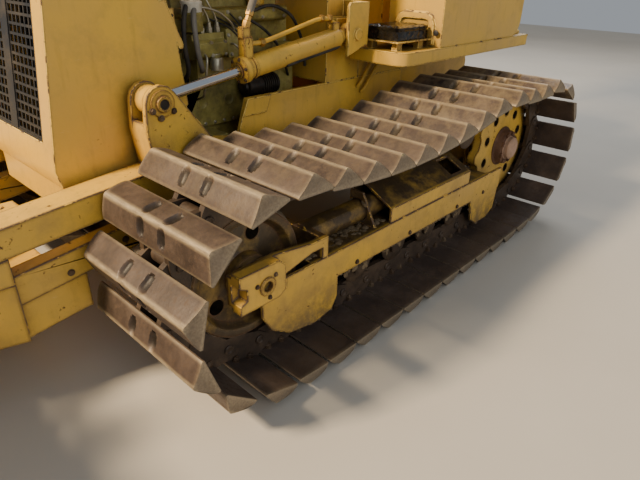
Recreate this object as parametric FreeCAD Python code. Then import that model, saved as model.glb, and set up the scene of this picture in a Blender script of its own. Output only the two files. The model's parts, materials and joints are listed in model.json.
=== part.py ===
import FreeCAD, Part
import math
import os

# Low-ground-pressure bulldozer with an angling and tilting blade on a C-frame, in millimetres.
# +X is forward, +Y is left, +Z is up. The origin is on the ground under the middle of the machine.
# Side pieces are drawn on the left and mirrored to the right.

V = FreeCAD.Vector

# Overall
blade_front_x = 2030.0
drawbar_rear_x = -2030.0

# Track chain and shoes
gauge = 1550.0
link_pitch = 154.0
shoe_length = 589.0
shoe_gap = 7.0
shoe_width = link_pitch - shoe_gap
shoe_height = 62.0
shoe_end_slope = 20.5
shoe_ridge_flat = 14.0
rail_offset = 62.0
rail_thick = 30.0
rail_above_pin = 55.0
rail_below_pin = 45.0
seat_gap = 0.3
bushing_radius = 27.0
chain_start = 0.78

# Wheels of the undercarriage
idler_x = 553.0
idler_z = 411.0
idler_pin_radius = 282.0
idler_flange = 18.0
idler_hub_radius = 80.0
idler_rim_depth = 34.0
idler_web_half = 46.0
idler_holes = 5
idler_hole_radius = 28.0
idler_hole_circle = 145.0
sprocket_x = -1367.0
sprocket_z = 430.0
sprocket_pin_radius = 298.0
sprocket_thick = 44.0
sprocket_holes = 10
sprocket_hole_radius = 24.0
sprocket_hole_circle = 196.0
carrier_x = -810.0
carrier_pin_z = 736.0
carrier_radius = 62.0
front_sag = 72.0
rear_sag = 18.0
roller_count = 6
front_roller_x = 250.0
rear_roller_x = -1040.0
ground_run_beyond = 90.0
roller_radius = 75.0
roller_flange = 13.0
roller_sides = 10
idler_sides = 16
small_sides = 8
shaft_radius = 22.0

# Track frame
guard_offset = 124.0
guard_plate = 14.0
guard_bottom_z = 255.0
frame_top_z = 369.0
frame_web = 34.0
frame_front_x = 430.0
frame_rear_x = -1195.0
lobe_rear_x = 154.0
tail_front_x = -880.0
web_front_x = 295.0
web_rear_x = -1045.0
cover_front_x = -182.0
cover_rear_x = -845.0
cover_shoulder_z = 434.0
cover_slope = 0.525
cover_outer = 118.0
cover_crest = -50.0
cover_inner = 95.0
cover_wall = 12.0
cover_hole = 100.0
saddle_x = -100.0
recoil_radius = 50.0

# Hull
hull_half = 318.0
hull_plate = 20.0
hull_top_z = 835.0
hull_bottom_z = 415.0
hull_front_x = 860.0
hull_sill_x = 98.0
hull_rear_x = -1000.0
rail_top_z = 655.0
cross_shaft_x = -700.0
cross_shaft_z = 465.0
cross_shaft_radius = 45.0

# Rear case and drives
case_rear_x = -1740.0
case_half = 300.0
case_top_z = 930.0
drive_radius = 165.0

# Radiator guard, radiator and bonnet
guard_half = 318.0
guard_wall = 10.0
guard_bottom = 655.0
guard_foot_x = 896.0
guard_lean = 0.131
grille_rows = 6
grille_columns = 4
hood_top_z = 1400.0
hood_crown = 60.0
hood_rear_x = -383.0
hood_front_x = 511.0
exhaust_x = 120.0
exhaust_y = -112.0
exhaust_radius = 30.0
intake_x = -140.0
intake_y = 118.0
intake_radius = 36.0

# Engine
head_top_z = 1130.0
engine_rear_x = -330.0
engine_front_x = 300.0
engine_half = 150.0
crank_z = 860.0
manifold_top_z = 1168.0
rocker_height = 90.0
pump_rear_x = 122.0
pump_front_x = 276.0
pump_bottom_z = 990.0
pump_top_z = 1084.0
pump_depth = 100.0
valve_count = 4
valve_radius = 9.0
filter_x = 258.0
filter_radius = 36.0
starter_z = 852.0
starter_radius = 42.0

# Cowl, platform and seat
cowl_rear_x = -620.0
bracket_plate = 16.0
cowl_top_z = 1520.0
floor_z = 985.0
floor_plate = 8.0
floor_half = 665.0
floor_front_x = -508.0
floor_rear_x = -1765.0
floor_rim = 50.0
floor_corner = 60.0
tray_lift = 34.0
tray_plate = 6.0
battery_front_x = -530.0
battery_rear_x = -780.0
battery_inner = hull_half + 82.0
battery_outer = floor_half - 55.0
side_box_front_x = -800.0
side_box_rear_x = -1640.0
side_box_inner = 350.0
side_box_top_z = 1420.0
tank_front_x = -1535.0
tank_rear_x = -1860.0
tank_half = 340.0
tank_top_z = 1560.0

# Roll-over frame and canopy
post_x = -1705.0
post_y = floor_half - 125.0
post_size = 100.0
roof_z = 2560.0
roof_thick = 70.0
roof_front_x = -420.0
roof_rear_x = -1880.0
roof_half = 640.0

# C-frame
pivot_x = -430.0
pivot_z = 520.0
arm_inner = 350.0
arm_outer = 470.0
arm_plate = 24.0
rail_height = 97.0
low_rail_inner = 375.0
low_rail_outer = 440.0
pin_radius = 25.0
pin_gap = 0.1
pin_sides = 16
rod_gap = 0.3
nose_rear_x = 1000.0
nose_top_z = 460.0
nose_bottom_z = 250.0
swing_x = 1620.0
swing_pin_radius = 38.0
tongue_bottom_z = 360.0
tongue_top_z = 440.0
fork_gap = 5.0
fork_plate = 42.0
yoke_rear_x = 1700.0
yoke_front_x = 1762.0

# Blade
blade_half = 1230.0
blade_bottom_z = 20.0
blade_top_z = 880.0
blade_skin = 16.0
blade_back_x = 1776.0
blade_curve = 107.0
skin_steps = 8
skin_top_drop = 20.0
rib_thick = 16.0
edge_rear_x = 1975.0
edge_top_z = 110.0
end_plate = 15.0
tilt_z = 400.0
tilt_pin_radius = 38.0

# Lift cylinders
lift_y = 410.0
lift_rear_x = -430.0
lift_rear_z = 1060.0
lift_front_x = 575.0
lift_front_z = 913.0
lift_barrel_radius = 42.0
lift_rod_radius = 20.0
lift_barrel_length = 640.0
lift_retract = 190.0
lift_rod_eye = 50.0

# Angle cylinders
angle_rear_x = 1050.0
angle_rear_y = 170.0
angle_front_x = 1700.0
angle_front_y = 460.0
angle_z = 550.0
angle_barrel_radius = 34.0
angle_rod_radius = 16.0
angle_barrel_length = 480.0
angle_retract = 170.0
angle_pin_radius = 16.0

# Tilt cylinder
tilt_cyl_x = 1716.0
tilt_cyl_z = 760.0
tilt_cyl_yoke_y = -120.0
tilt_cyl_blade_y = 500.0
tilt_barrel_radius = 32.0
tilt_rod_radius = 16.0
tilt_barrel_length = 360.0
tilt_retract = 55.0
tilt_ear_pin_radius = 14.0


def box(x0, x1, y0, y1, z0, z1):
    return Part.makeBox(x1 - x0, y1 - y0, z1 - z0, V(x0, y0, z0))


def side_prism(points, y0, y1):
    """A prism with its outline in X and Z, from y0 to y1."""
    wire = Part.makePolygon([V(x, y0, z) for x, z in points] + [V(points[0][0], y0, points[0][1])])
    return Part.Face(wire).extrude(V(0, y1 - y0, 0))


def cross_prism(points, x0, x1):
    """A prism with its outline in Y and Z, from x0 to x1."""
    wire = Part.makePolygon([V(x0, y, z) for y, z in points] + [V(x0, points[0][0], points[0][1])])
    return Part.Face(wire).extrude(V(x1 - x0, 0, 0))


def plan_prism(points, z0, z1):
    """A prism with its outline in X and Y, from z0 to z1."""
    wire = Part.makePolygon([V(x, y, z0) for x, y in points] + [V(points[0][0], points[0][1], z0)])
    return Part.Face(wire).extrude(V(0, 0, z1 - z0))


def bar(a, b, radius, sides=12):
    """A many-sided bar from point a to point b, with its corners at the radius."""
    axis = b - a
    across = V(0, 0, 1).cross(axis) if math.hypot(axis.x, axis.y) > 1 else V(0, 1, 0)
    across = across.normalize()
    up = axis.cross(across).normalize()
    turns = [math.pi * (2 * i + 1) / sides for i in range(sides)]
    corners = [a + across * (radius * math.cos(t)) + up * (radius * math.sin(t)) for t in turns]
    return Part.Face(Part.makePolygon(corners + corners[:1])).extrude(axis)


def bar_x(y, z, radius, x0, x1, sides=12):
    return bar(V(x0, y, z), V(x1, y, z), radius, sides)


def bar_y(x, z, radius, y0, y1, sides=12):
    return bar(V(x, y0, z), V(x, y1, z), radius, sides)


def bar_z(x, y, radius, z0, z1, sides=12):
    return bar(V(x, y, z0), V(x, y, z1), radius, sides)


def bore_radius(radius, gap=0.0, sides=12):
    """Corner radius of a many-sided outline whose flats clear a round pin by a gap."""
    return (radius + gap) / math.cos(math.pi / sides)


def frustum(base, top):
    """A solid between two four-cornered outlines, with flat sides."""
    rings = [base, top] + [[base[i - 1], base[i], top[i], top[i - 1]] for i in range(4)]
    faces = [Part.Face(Part.makePolygon(ring + ring[:1])) for ring in rings]
    solid = Part.makeSolid(Part.makeShell(faces))
    return solid.reversed() if solid.Volume < 0 else solid


def fuse(shapes):
    return shapes[0].multiFuse(shapes[1:]).removeSplitter()


def mirrored(shape):
    return shape.mirror(V(0, 0, 0), V(0, 1, 0))


nodes = {}


def put(name, shape):
    nodes[name] = shape


def put_pair(name, shape):
    put("left_" + name, shape)
    put("right_" + name, mirrored(shape))


# Path of the chain's pins, seen from the left

ground_pin_z = shoe_height + rail_above_pin
track_y = gauge / 2


def arc_points(x, z, radius, start, end, count):
    """Points on a circle, from the start angle to the end angle in radians."""
    steps = [start + (end - start) * i / count for i in range(count + 1)]
    return [(x + radius * math.cos(a), z + radius * math.sin(a)) for a in steps]


def sag_points(a, b, sag, count):
    """Points on a hanging run between two points."""
    points = []
    for i in range(1, count):
        t = i / count
        drop = 4 * sag * t * (1 - t)
        points.append((a[0] + (b[0] - a[0]) * t, a[1] + (b[1] - a[1]) * t - drop))
    return points


def ground_tangent(x, z, radius, run_x):
    """Angle below the horizontal at which a line from the ground run's end meets a wheel."""
    dx, dz = x - run_x, z - ground_pin_z
    reach = math.hypot(dx, dz)
    return math.atan2(abs(dx), dz) - math.acos(radius / reach)


def top_angle(x, z, radius, sag):
    """Angle from the vertical at which a sagging run leaves the top of a wheel."""
    angle = 0.0
    for _ in range(12):
        px = x - math.copysign(radius * math.sin(angle), x - carrier_x)
        pz = z + radius * math.cos(angle)
        run = abs(px - carrier_x)
        angle = math.atan((pz - carrier_pin_z) / run + 4 * sag / run)
    return angle


def pin_path():
    """The pins' closed path as a dense list of X and Z."""
    run_front = front_roller_x + ground_run_beyond
    run_rear = rear_roller_x - ground_run_beyond
    low_front = ground_tangent(idler_x, idler_z, idler_pin_radius, run_front)
    low_rear = ground_tangent(sprocket_x, sprocket_z, sprocket_pin_radius, run_rear)
    high_front = top_angle(idler_x, idler_z, idler_pin_radius, front_sag)
    high_rear = top_angle(sprocket_x, sprocket_z, sprocket_pin_radius, rear_sag)
    half = math.pi / 2
    idler_arc = arc_points(idler_x, idler_z, idler_pin_radius, low_front - half, half + high_front, 60)
    sprocket_arc = arc_points(sprocket_x, sprocket_z, sprocket_pin_radius,
                              half - high_rear, 3 * half - low_rear, 60)
    carrier = (carrier_x, carrier_pin_z)
    path = [(run_rear, ground_pin_z), (run_front, ground_pin_z)]
    path += idler_arc
    path += sag_points(idler_arc[-1], carrier, front_sag, 40)
    path += [carrier]
    path += sag_points(carrier, sprocket_arc[0], rear_sag, 20)
    path += sprocket_arc
    return path


def even_points(path):
    """Pins along a closed path at one pitch, as near to the nominal pitch as closes the chain."""
    closed = path + [path[0]]
    lengths = [math.dist(closed[i], closed[i + 1]) for i in range(len(path))]
    count = round(sum(lengths) / link_pitch)
    step = sum(lengths) / count
    pins, done, target = [], 0.0, step * chain_start
    for i, length in enumerate(lengths):
        while target <= done + length and len(pins) < count:
            t = (target - done) / length
            pins.append(tuple(closed[i][k] + (closed[i + 1][k] - closed[i][k]) * t for k in (0, 1)))
            target += step
        done += length
    return pins


def offset_loop(pins, distance):
    """The loop of pins moved outwards by a distance, with its corners where the sides meet."""
    count = len(pins)
    corners = []
    for i in range(count):
        before, here, after = pins[i - 1], pins[i], pins[(i + 1) % count]
        a = math.atan2(here[1] - before[1], here[0] - before[0])
        b = math.atan2(after[1] - here[1], after[0] - here[0])
        turn = (b - a + math.pi) % (2 * math.pi) - math.pi
        middle = a + turn / 2 - math.pi / 2
        reach = distance / math.cos(turn / 2)
        corners.append((here[0] + reach * math.cos(middle), here[1] + reach * math.sin(middle)))
    return corners


def clearance(loop, x, z):
    """Least distance from a point to the sides of a loop."""
    least = None
    for i in range(len(loop)):
        (ax, az), (bx, bz) = loop[i - 1], loop[i]
        dx, dz = bx - ax, bz - az
        t = max(0.0, min(1.0, ((x - ax) * dx + (z - az) * dz) / (dx * dx + dz * dz)))
        reach = math.dist((x, z), (ax + t * dx, az + t * dz))
        least = reach if least is None else min(least, reach)
    return least


pins = even_points(pin_path())
rail_outer = offset_loop(pins, rail_above_pin)
rail_inner = offset_loop(pins, -rail_below_pin)
idler_radius = clearance(rail_inner, idler_x, idler_z) - seat_gap


def shoe(a, b):
    """One ridged shoe on the outer side of the link from pin a to pin b."""
    angle = math.atan2(b[1] - a[1], b[0] - a[0])
    half_length = shoe_length / 2
    half_width = shoe_width / 2
    half_flat = shoe_ridge_flat / 2
    foot = -rail_above_pin
    ridge = foot - shoe_height

    def corners(half_l, half_w, z):
        return [V(-half_w, -half_l, z), V(half_w, -half_l, z), V(half_w, half_l, z), V(-half_w, half_l, z)]

    body = frustum(corners(half_length, half_width, foot),
                   corners(half_length - shoe_end_slope, half_flat, ridge))
    body.rotate(V(0, 0, 0), V(0, 1, 0), -math.degrees(angle))
    body.translate(V((a[0] + b[0]) / 2, track_y, (a[1] + b[1]) / 2))
    return body


def rail(y):
    """One side of the chain, as a ring whose flats seat the shoes."""
    outer = side_prism(rail_outer, y - rail_thick / 2, y + rail_thick / 2)
    inner = side_prism(rail_inner, y - rail_thick / 2, y + rail_thick / 2)
    return outer.cut(inner)


def track():
    """Closed chain of two rails with bushings between them at the pins, and a shoe on each link."""
    shoes = [shoe(pins[i - 1], pins[i]) for i in range(len(pins))]
    rails = [rail(track_y - rail_offset), rail(track_y + rail_offset)]
    low, high = track_y - rail_offset, track_y + rail_offset
    bushings = [bar_y(x, z, bushing_radius, low, high, 6) for x, z in pins]
    return fuse(rails + bushings + shoes)


def idler():
    """Idler wheel: rim with a centre flange between the rails, holed web, hub and bore."""
    tread = rail_offset + rail_thick / 2
    flange = rail_offset - rail_thick / 2 - 7
    rim = idler_radius - idler_rim_depth
    hub_half = tread + 18

    def disc(radius, half, sides=idler_sides):
        return bar_y(idler_x, idler_z, radius, track_y - half, track_y + half, sides)

    wheel = disc(idler_radius, tread).fuse(disc(idler_radius + idler_flange, flange))
    recess = disc(rim, tread + 1).cut(disc(rim + 1, idler_web_half))
    holes = []
    for i in range(idler_holes):
        a = 2 * math.pi * (i + 0.5) / idler_holes
        x = idler_x + idler_hole_circle * math.cos(a)
        z = idler_z + idler_hole_circle * math.sin(a)
        holes.append(bar_y(x, z, idler_hole_radius, track_y - tread, track_y + tread, small_sides))
    wheel = wheel.cut(Part.makeCompound([recess] + holes)).fuse(disc(idler_hub_radius, hub_half, 12))
    bore = disc(bore_radius(shaft_radius, seat_gap, small_sides), hub_half + 1, small_sides)
    return wheel.cut(bore).removeSplitter()


def sprocket():
    """Toothed drive plate with round holes and a stepped hub, its teeth between the bushings."""
    teeth = round(2 * math.pi * sprocket_pin_radius / link_pitch)
    tip = sprocket_pin_radius + 6
    root = sprocket_pin_radius - bushing_radius - 4
    step = 2 * math.pi / teeth
    back = min(pins)
    start = math.atan2(back[1] - sprocket_z, back[0] - sprocket_x) + step / 2
    outline = []
    for i in range(teeth):
        for share, radius in ((-0.34, root), (-0.12, tip), (0.12, tip), (0.34, root)):
            a = start + (i + share) * step
            outline.append((sprocket_x + radius * math.cos(a), sprocket_z + radius * math.sin(a)))
    inside = track_y - sprocket_thick / 2
    outside = track_y + sprocket_thick / 2
    plate = side_prism(outline, inside, outside)
    holes = []
    for i in range(sprocket_holes):
        a = 2 * math.pi * (i + 0.5) / sprocket_holes
        x = sprocket_x + sprocket_hole_circle * math.cos(a)
        z = sprocket_z + sprocket_hole_circle * math.sin(a)
        holes.append(bar_y(x, z, sprocket_hole_radius, inside - 1, outside + 1, 6))
    hub = fuse([bar_y(sprocket_x, sprocket_z, 98, outside, outside + 42),
                bar_y(sprocket_x, sprocket_z, 62, outside + 42, outside + 76)])
    return plate.cut(Part.makeCompound(holes)).fuse(hub)


def final_drive():
    """Round drive housing between the rear case and the sprocket."""
    outer = track_y - sprocket_thick / 2
    return fuse([bar_y(sprocket_x, sprocket_z, drive_radius, case_half, outer - 90, idler_sides),
                 bar_y(sprocket_x, sprocket_z, drive_radius - 35, outer - 90, outer)])


def roller(x, z, radius):
    """Double-flanged roller."""
    tread = rail_offset + rail_thick / 2 + 2
    end = tread + 16
    pieces = [bar_y(x, z, radius, track_y - tread, track_y + tread, roller_sides)]
    for side in (-1, 1):
        y = sorted((track_y + side * tread, track_y + side * end))
        pieces.append(bar_y(x, z, radius + roller_flange, y[0], y[1], roller_sides))
    return fuse(pieces)


roller_z = ground_pin_z + rail_below_pin + roller_radius + seat_gap
roller_xs = [front_roller_x + (rear_roller_x - front_roller_x) * i / (roller_count - 1)
             for i in range(roller_count)]


def carrier_height():
    """Height of the carrier roller's axis, with its tread just under the rails."""
    z = carrier_pin_z - rail_below_pin - carrier_radius
    for _ in range(6):
        z -= carrier_radius + seat_gap - clearance(rail_inner, carrier_x, z)
    return z


def held_roller(x):
    """Track roller between two collars, which hang under the frame's web."""
    end = rail_offset + rail_thick / 2 + 2 + 16
    reach = guard_offset - guard_plate
    collar = [(x - 44, frame_top_z - frame_web), (x - 44, roller_z - 16), (x - 24, roller_z - 40),
              (x + 24, roller_z - 40), (x + 44, roller_z - 16), (x + 44, frame_top_z - frame_web)]
    pieces = [roller(x, roller_z, roller_radius)]
    for side in (-1, 1):
        y = sorted((track_y + side * end, track_y + side * reach))
        pieces.append(side_prism(collar, y[0], y[1]))
    return fuse(pieces)


def cover_height(offset):
    """Height of the cover's sloping side at an offset from the middle of the track."""
    return cover_shoulder_z + cover_slope * (cover_outer - offset)


def track_frame():
    """Channel over the rollers with side bands, end lobes, a saddle and a sloping cover."""
    inner = guard_offset - guard_plate
    web = box(web_rear_x, web_front_x, track_y - inner, track_y + inner, frame_top_z - frame_web, frame_top_z)
    band = [(frame_rear_x, guard_bottom_z), (frame_front_x, guard_bottom_z), (frame_front_x, frame_top_z),
            (frame_rear_x, frame_top_z)]
    join_z = guard_bottom_z + 20
    lobe = [(lobe_rear_x, join_z), (lobe_rear_x, 168), (lobe_rear_x + 30, 118), (280, 100),
            (410, 122), (500, 180), (540, 250), (540, 330), (400, 330), (400, join_z)]
    tail = [(tail_front_x, join_z), (tail_front_x - 40, 140), (tail_front_x - 100, 102),
            (tail_front_x - 220, 102), (tail_front_x - 290, 140), (tail_front_x - 305, join_z)]
    pieces = [web]
    for side in (-1, 1):
        y = sorted((track_y + side * inner, track_y + side * guard_offset))
        pieces += [side_prism(outline, y[0], y[1]) for outline in (band, lobe, tail)]
    crest_z = cover_height(cover_crest)
    outline = [(-cover_inner, frame_top_z), (-cover_inner, crest_z - 20), (-cover_inner + 20, crest_z),
               (cover_crest, crest_z), (cover_outer, cover_shoulder_z), (cover_outer, frame_top_z)]
    inside = cover_outer - cover_wall
    hollow = [(-cover_inner + cover_wall, frame_top_z), (-cover_inner + cover_wall, crest_z - 30),
              (-cover_inner + 26, crest_z - cover_wall), (cover_crest - 3, crest_z - cover_wall),
              (inside, cover_height(inside) - cover_wall), (inside, frame_top_z)]
    cover = cross_prism([(track_y + y, z) for y, z in outline], cover_rear_x, cover_front_x)
    cover = cover.cut(cross_prism([(track_y + y, z) for y, z in hollow], cover_rear_x + cover_wall,
                                  cover_front_x + 1))
    hole_front_x = cover_rear_x + 50 + cover_hole
    hole = box(cover_rear_x + 50, hole_front_x, track_y, track_y + inside - 14, frame_top_z + 50, crest_z)
    pieces.append(cover.cut(hole))
    saddle = [(track_y - 40, frame_top_z), (track_y + 100, frame_top_z), (track_y + 28, crest_z - 17),
              (track_y - 40, crest_z - 17)]
    tube_way = bar_x(track_y, frame_top_z + recoil_radius, recoil_radius + 6, saddle_x - 20, saddle_x + 20)
    pieces.append(cross_prism(saddle, saddle_x - 6, saddle_x + 6).cut(tube_way))
    return fuse(pieces)


def idler_yoke():
    """Recoil tube, fork arms beside the idler and the blocks that hold its shaft."""
    arm_in, arm_out, block_out = 100, guard_offset, 168
    boss_radius, shaft_end = shaft_radius + 5, 150
    top = frame_top_z + 86
    tube_z = frame_top_z + recoil_radius
    pieces = [bar_x(track_y, tube_z, recoil_radius, cover_front_x - 120, 240),
              box(215, 245, track_y - arm_out, track_y + arm_out, frame_top_z, top)]
    arm = [(215, frame_top_z + 46), (300, frame_top_z + 46), (430, frame_top_z + 16), (470, idler_z - 50),
           (665, idler_z - 50), (665, idler_z + 60), (470, idler_z + 68), (300, top), (215, top)]
    block = [(470, idler_z - 46), (500, idler_z - 66), (665, idler_z - 66), (665, idler_z - 30),
             (636, idler_z - 20), (636, idler_z + 20), (665, idler_z + 34), (665, idler_z + 74),
             (500, idler_z + 74), (470, idler_z + 50)]
    bores, bosses = [], []
    for side in (-1, 1):
        y = sorted((track_y + side * arm_in, track_y + side * arm_out))
        pieces.append(side_prism(arm, y[0], y[1]))
        y = sorted((track_y + side * arm_out, track_y + side * block_out))
        pieces.append(side_prism(block, y[0], y[1]))
        y = sorted((track_y + side * shaft_end, track_y + side * (block_out + 2)))
        bores.append(bar_y(idler_x, idler_z, boss_radius, y[0], y[1], small_sides))
        y = sorted((track_y + side * shaft_end, track_y + side * (arm_in - 4)))
        bosses.append(bar_y(idler_x, idler_z, boss_radius, y[0], y[1], small_sides))
    shaft = bar_y(idler_x, idler_z, shaft_radius, track_y - arm_in, track_y + arm_in, small_sides)
    return fuse(pieces + bosses + [shaft]).cut(Part.makeCompound(bores))


# Undercarriage nodes

put_pair("track", track())
put_pair("track_frame", track_frame())
put_pair("track_rollers", Part.makeCompound([held_roller(x) for x in roller_xs]))
put_pair("idler", idler())
put_pair("idler_yoke", idler_yoke())
put_pair("sprocket", sprocket())
put_pair("final_drive", final_drive())

carrier_z = carrier_height()
leg_outer = track_y - guard_offset
leg = [(carrier_x - 60, frame_top_z), (carrier_x + 60, frame_top_z), (carrier_x + 34, carrier_z + 30),
       (carrier_x - 34, carrier_z + 30)]
carrier_leg = side_prism(leg, leg_outer, leg_outer + 18)
carrier_shaft = bar_y(carrier_x, carrier_z, shaft_radius, leg_outer + 18, track_y, small_sides)
carrier = roller(carrier_x, carrier_z, carrier_radius)
put_pair("carrier_roller", fuse([carrier, carrier_shaft, carrier_leg]))


def hull():
    """Deep open-topped hull with a belly plate and two front rails under the radiator."""
    inner = hull_half - hull_plate
    side = [(hull_rear_x, hull_bottom_z), (hull_front_x, hull_bottom_z + 110), (hull_front_x, rail_top_z),
            (hull_sill_x + 60, rail_top_z), (hull_sill_x, hull_top_z), (hull_rear_x, hull_top_z)]
    pieces = [side_prism(side, inner, hull_half), side_prism(side, -hull_half, -inner)]
    belly = [(hull_rear_x, hull_bottom_z), (hull_front_x, hull_bottom_z + 110),
             (hull_front_x, hull_bottom_z + 126), (hull_rear_x, hull_bottom_z + 16)]
    pieces.append(side_prism(belly, -inner, inner))
    for x0, x1, low, high in ((hull_front_x - hull_plate, hull_front_x, hull_bottom_z + 110, rail_top_z),
                              (hull_rear_x, hull_rear_x + hull_plate, hull_bottom_z, hull_top_z)):
        pieces.append(box(x0, x1, -inner, inner, low, high))
    gusset = [(hull_sill_x + 32, hull_top_z - 70), (hull_sill_x, hull_top_z), (hull_sill_x - 130, hull_top_z),
              (hull_sill_x - 100, hull_top_z - 70)]
    for side in (-1, 1):
        y = sorted((side * hull_half, side * (hull_half + 12)))
        pieces.append(side_prism(gusset, y[0], y[1]))
        y = sorted((side * hull_half, side * (track_y - cover_inner)))
        pieces.append(bar_y(cross_shaft_x, cross_shaft_z, cross_shaft_radius, y[0], y[1]))
    pivot = bar_y(pivot_x, pivot_z, pin_radius, -arm_outer, arm_outer)
    return fuse(pieces + [pivot])


put("hull", hull())


def rear_case():
    """Closed case for transmission and steering, with the final drives on its sides."""
    outline = [(hull_rear_x, 440), (case_rear_x + 60, 400), (case_rear_x, 450),
               (case_rear_x, case_top_z - 120), (case_rear_x + 60, case_top_z), (hull_rear_x, case_top_z)]
    return side_prism(outline, -case_half, case_half)


put("rear_case", rear_case())


def drawbar():
    """Rear drawbar of two plates, with the hitch pin's bore."""
    jaw = [(case_rear_x, -90), (drawbar_rear_x + 60, -60), (drawbar_rear_x, -30),
           (drawbar_rear_x, 30), (drawbar_rear_x + 60, 60), (case_rear_x, 90)]
    plate = plan_prism(jaw, 470, 510)
    upper = plan_prism(jaw, 580, 620)
    back = box(case_rear_x - 30, case_rear_x, -120, 120, 455, 640)
    bore = Part.makeCylinder(17, 170, V(drawbar_rear_x + 55, 0, 460))
    return fuse([plate, upper, back]).cut(bore)


put("drawbar", drawbar())


def engine():
    """Four-cylinder diesel with its pump, governor, starter, manifold and filter, open to view."""
    rear, front, half = engine_rear_x, engine_front_x, engine_half
    foot_half = hull_half - hull_plate
    pieces = [box(rear, front, -half, half, 700, 1010),
              box(rear + 20, front - 20, -half + 25, half - 20, 1010, head_top_z),
              box(rear + 30, front - 50, -half + 30, half - 30, 560, 700),
              box(rear + 80, rear + 140, -foot_half, foot_half, 690, 740),
              box(front - 100, front - 20, -hull_half, hull_half, rail_top_z, rail_top_z + 55),
              bar_x(0, crank_z, 60, front, front + 60)]
    rocker_z = head_top_z + rocker_height
    rocker = [(-80, head_top_z), (-80, rocker_z - 30), (-50, rocker_z), (50, rocker_z), (80, rocker_z - 30),
              (80, head_top_z)]
    pieces.append(cross_prism(rocker, rear + 40, front - 40))
    manifold_z = manifold_top_z - 60
    manifold = [(half - 21, manifold_z), (half + 24, manifold_z), (half + 40, manifold_z + 16),
                (half + 40, manifold_top_z - 10), (half + 24, manifold_top_z), (half - 21, manifold_top_z)]
    pieces.append(cross_prism(manifold, rear + 70, front - 90))
    ports = [rear + 110 + 140 * i for i in range(4)]
    pieces += [box(x - 28, x + 28, -half - 30, -half + 26, 1030, 1096) for x in ports]
    pieces.append(bar_x(-half - 50, 1062, 34, rear + 60, front - 60, small_sides))
    deep = half + pump_depth
    pump = [(half - 1, pump_bottom_z), (deep - 16, pump_bottom_z), (deep, pump_bottom_z + 16),
            (deep, pump_top_z - 34), (deep - 24, pump_top_z - 22), (deep - 24, pump_top_z),
            (half - 1, pump_top_z)]
    pieces.append(cross_prism(pump, pump_rear_x, pump_front_x))
    spacing = (pump_front_x - pump_rear_x - 43) / (valve_count - 1)
    valves = [pump_rear_x + 18 + spacing * i for i in range(valve_count)]
    pieces += [bar_z(x, half + 56, valve_radius, pump_top_z - 4, pump_top_z + 20, 6) for x in valves]

    def governor(y_out, x_in, z):
        left, right = pump_rear_x - 96 + x_in, pump_rear_x - 4 - x_in
        return [V(left, half - 1, z), V(right, half - 1, z), V(right, y_out, z), V(left, y_out, z)]

    pieces.append(frustum(governor(deep - 4, 0, pump_bottom_z - 4), governor(deep - 30, 10, pump_top_z + 10)))
    pieces.append(box(40, 250, half - 1, half + 60, 900, pump_bottom_z - 3.5))
    pieces.append(bar_z(180, half + 92, 22, 950, pump_bottom_z + 16, small_sides))
    pieces.append(bar_x(half + starter_radius + 10, starter_z, starter_radius, -158, 8))
    pieces.append(box(-120, -40, half - 1, half + 30, starter_z - 32, starter_z + 32))
    filter_y = half + 66
    pieces.append(bar_z(filter_x, filter_y, filter_radius, 1096, 1196))
    pieces.append(box(filter_x - 22, filter_x + 22, half - 22, filter_y, 1150, 1170))
    return fuse(pieces)


put("engine", engine())


def front_at(z):
    """X of the radiator guard's front at a height."""
    return guard_foot_x - guard_lean * (z - guard_bottom - 80)


def radiator_guard():
    """Guard round the radiator: two leaning side panels with rear flanges, a sill and a header."""
    low, sill_top, lintel_z, top = guard_bottom, guard_bottom + 140, hood_top_z - 70, hood_top_z
    toe = (front_at(low + 80) - 12, low)
    rear_edge = [(hood_front_x, top), (hood_front_x, top - 60), (453, 1210), (397, 1067), (375, low + 200),
                 (600, low)]
    outline = [toe, (front_at(low + 60), low + 60), (front_at(top), top)] + rear_edge
    inner = guard_half - guard_wall
    flange = [(390, 1050), (397, 1067), (453, 1210), (430, 1216), (372, 1067), (376, 1050)]
    sill = [toe, (front_at(low + 60), low + 60), (front_at(sill_top), sill_top),
            (front_at(sill_top) - 14, sill_top), (front_at(low + 60) - 60, low)]
    header = [(front_at(lintel_z), lintel_z), (front_at(top), top), (hood_front_x, top),
              (hood_front_x, top - 12), (front_at(top) - 40, top - 12), (front_at(top) - 40, lintel_z)]
    jamb = [(front_at(sill_top), sill_top), (front_at(lintel_z), lintel_z),
            (front_at(lintel_z) - 14, lintel_z), (front_at(sill_top) - 14, sill_top)]
    pieces = [side_prism(sill, -inner, inner), side_prism(header, -inner, inner)]
    for side in (-1, 1):
        y = sorted((side * inner, side * guard_half))
        pieces.append(side_prism(outline, y[0], y[1]))
        y = sorted((side * (inner - 70), side * inner))
        pieces.append(side_prism(jamb, y[0], y[1]))
        y = sorted((side * (guard_half - 6), side * guard_half))
        pieces.append(side_prism(flange, y[0], y[1]))
    return fuse(pieces)


put("radiator_guard", radiator_guard())


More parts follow.
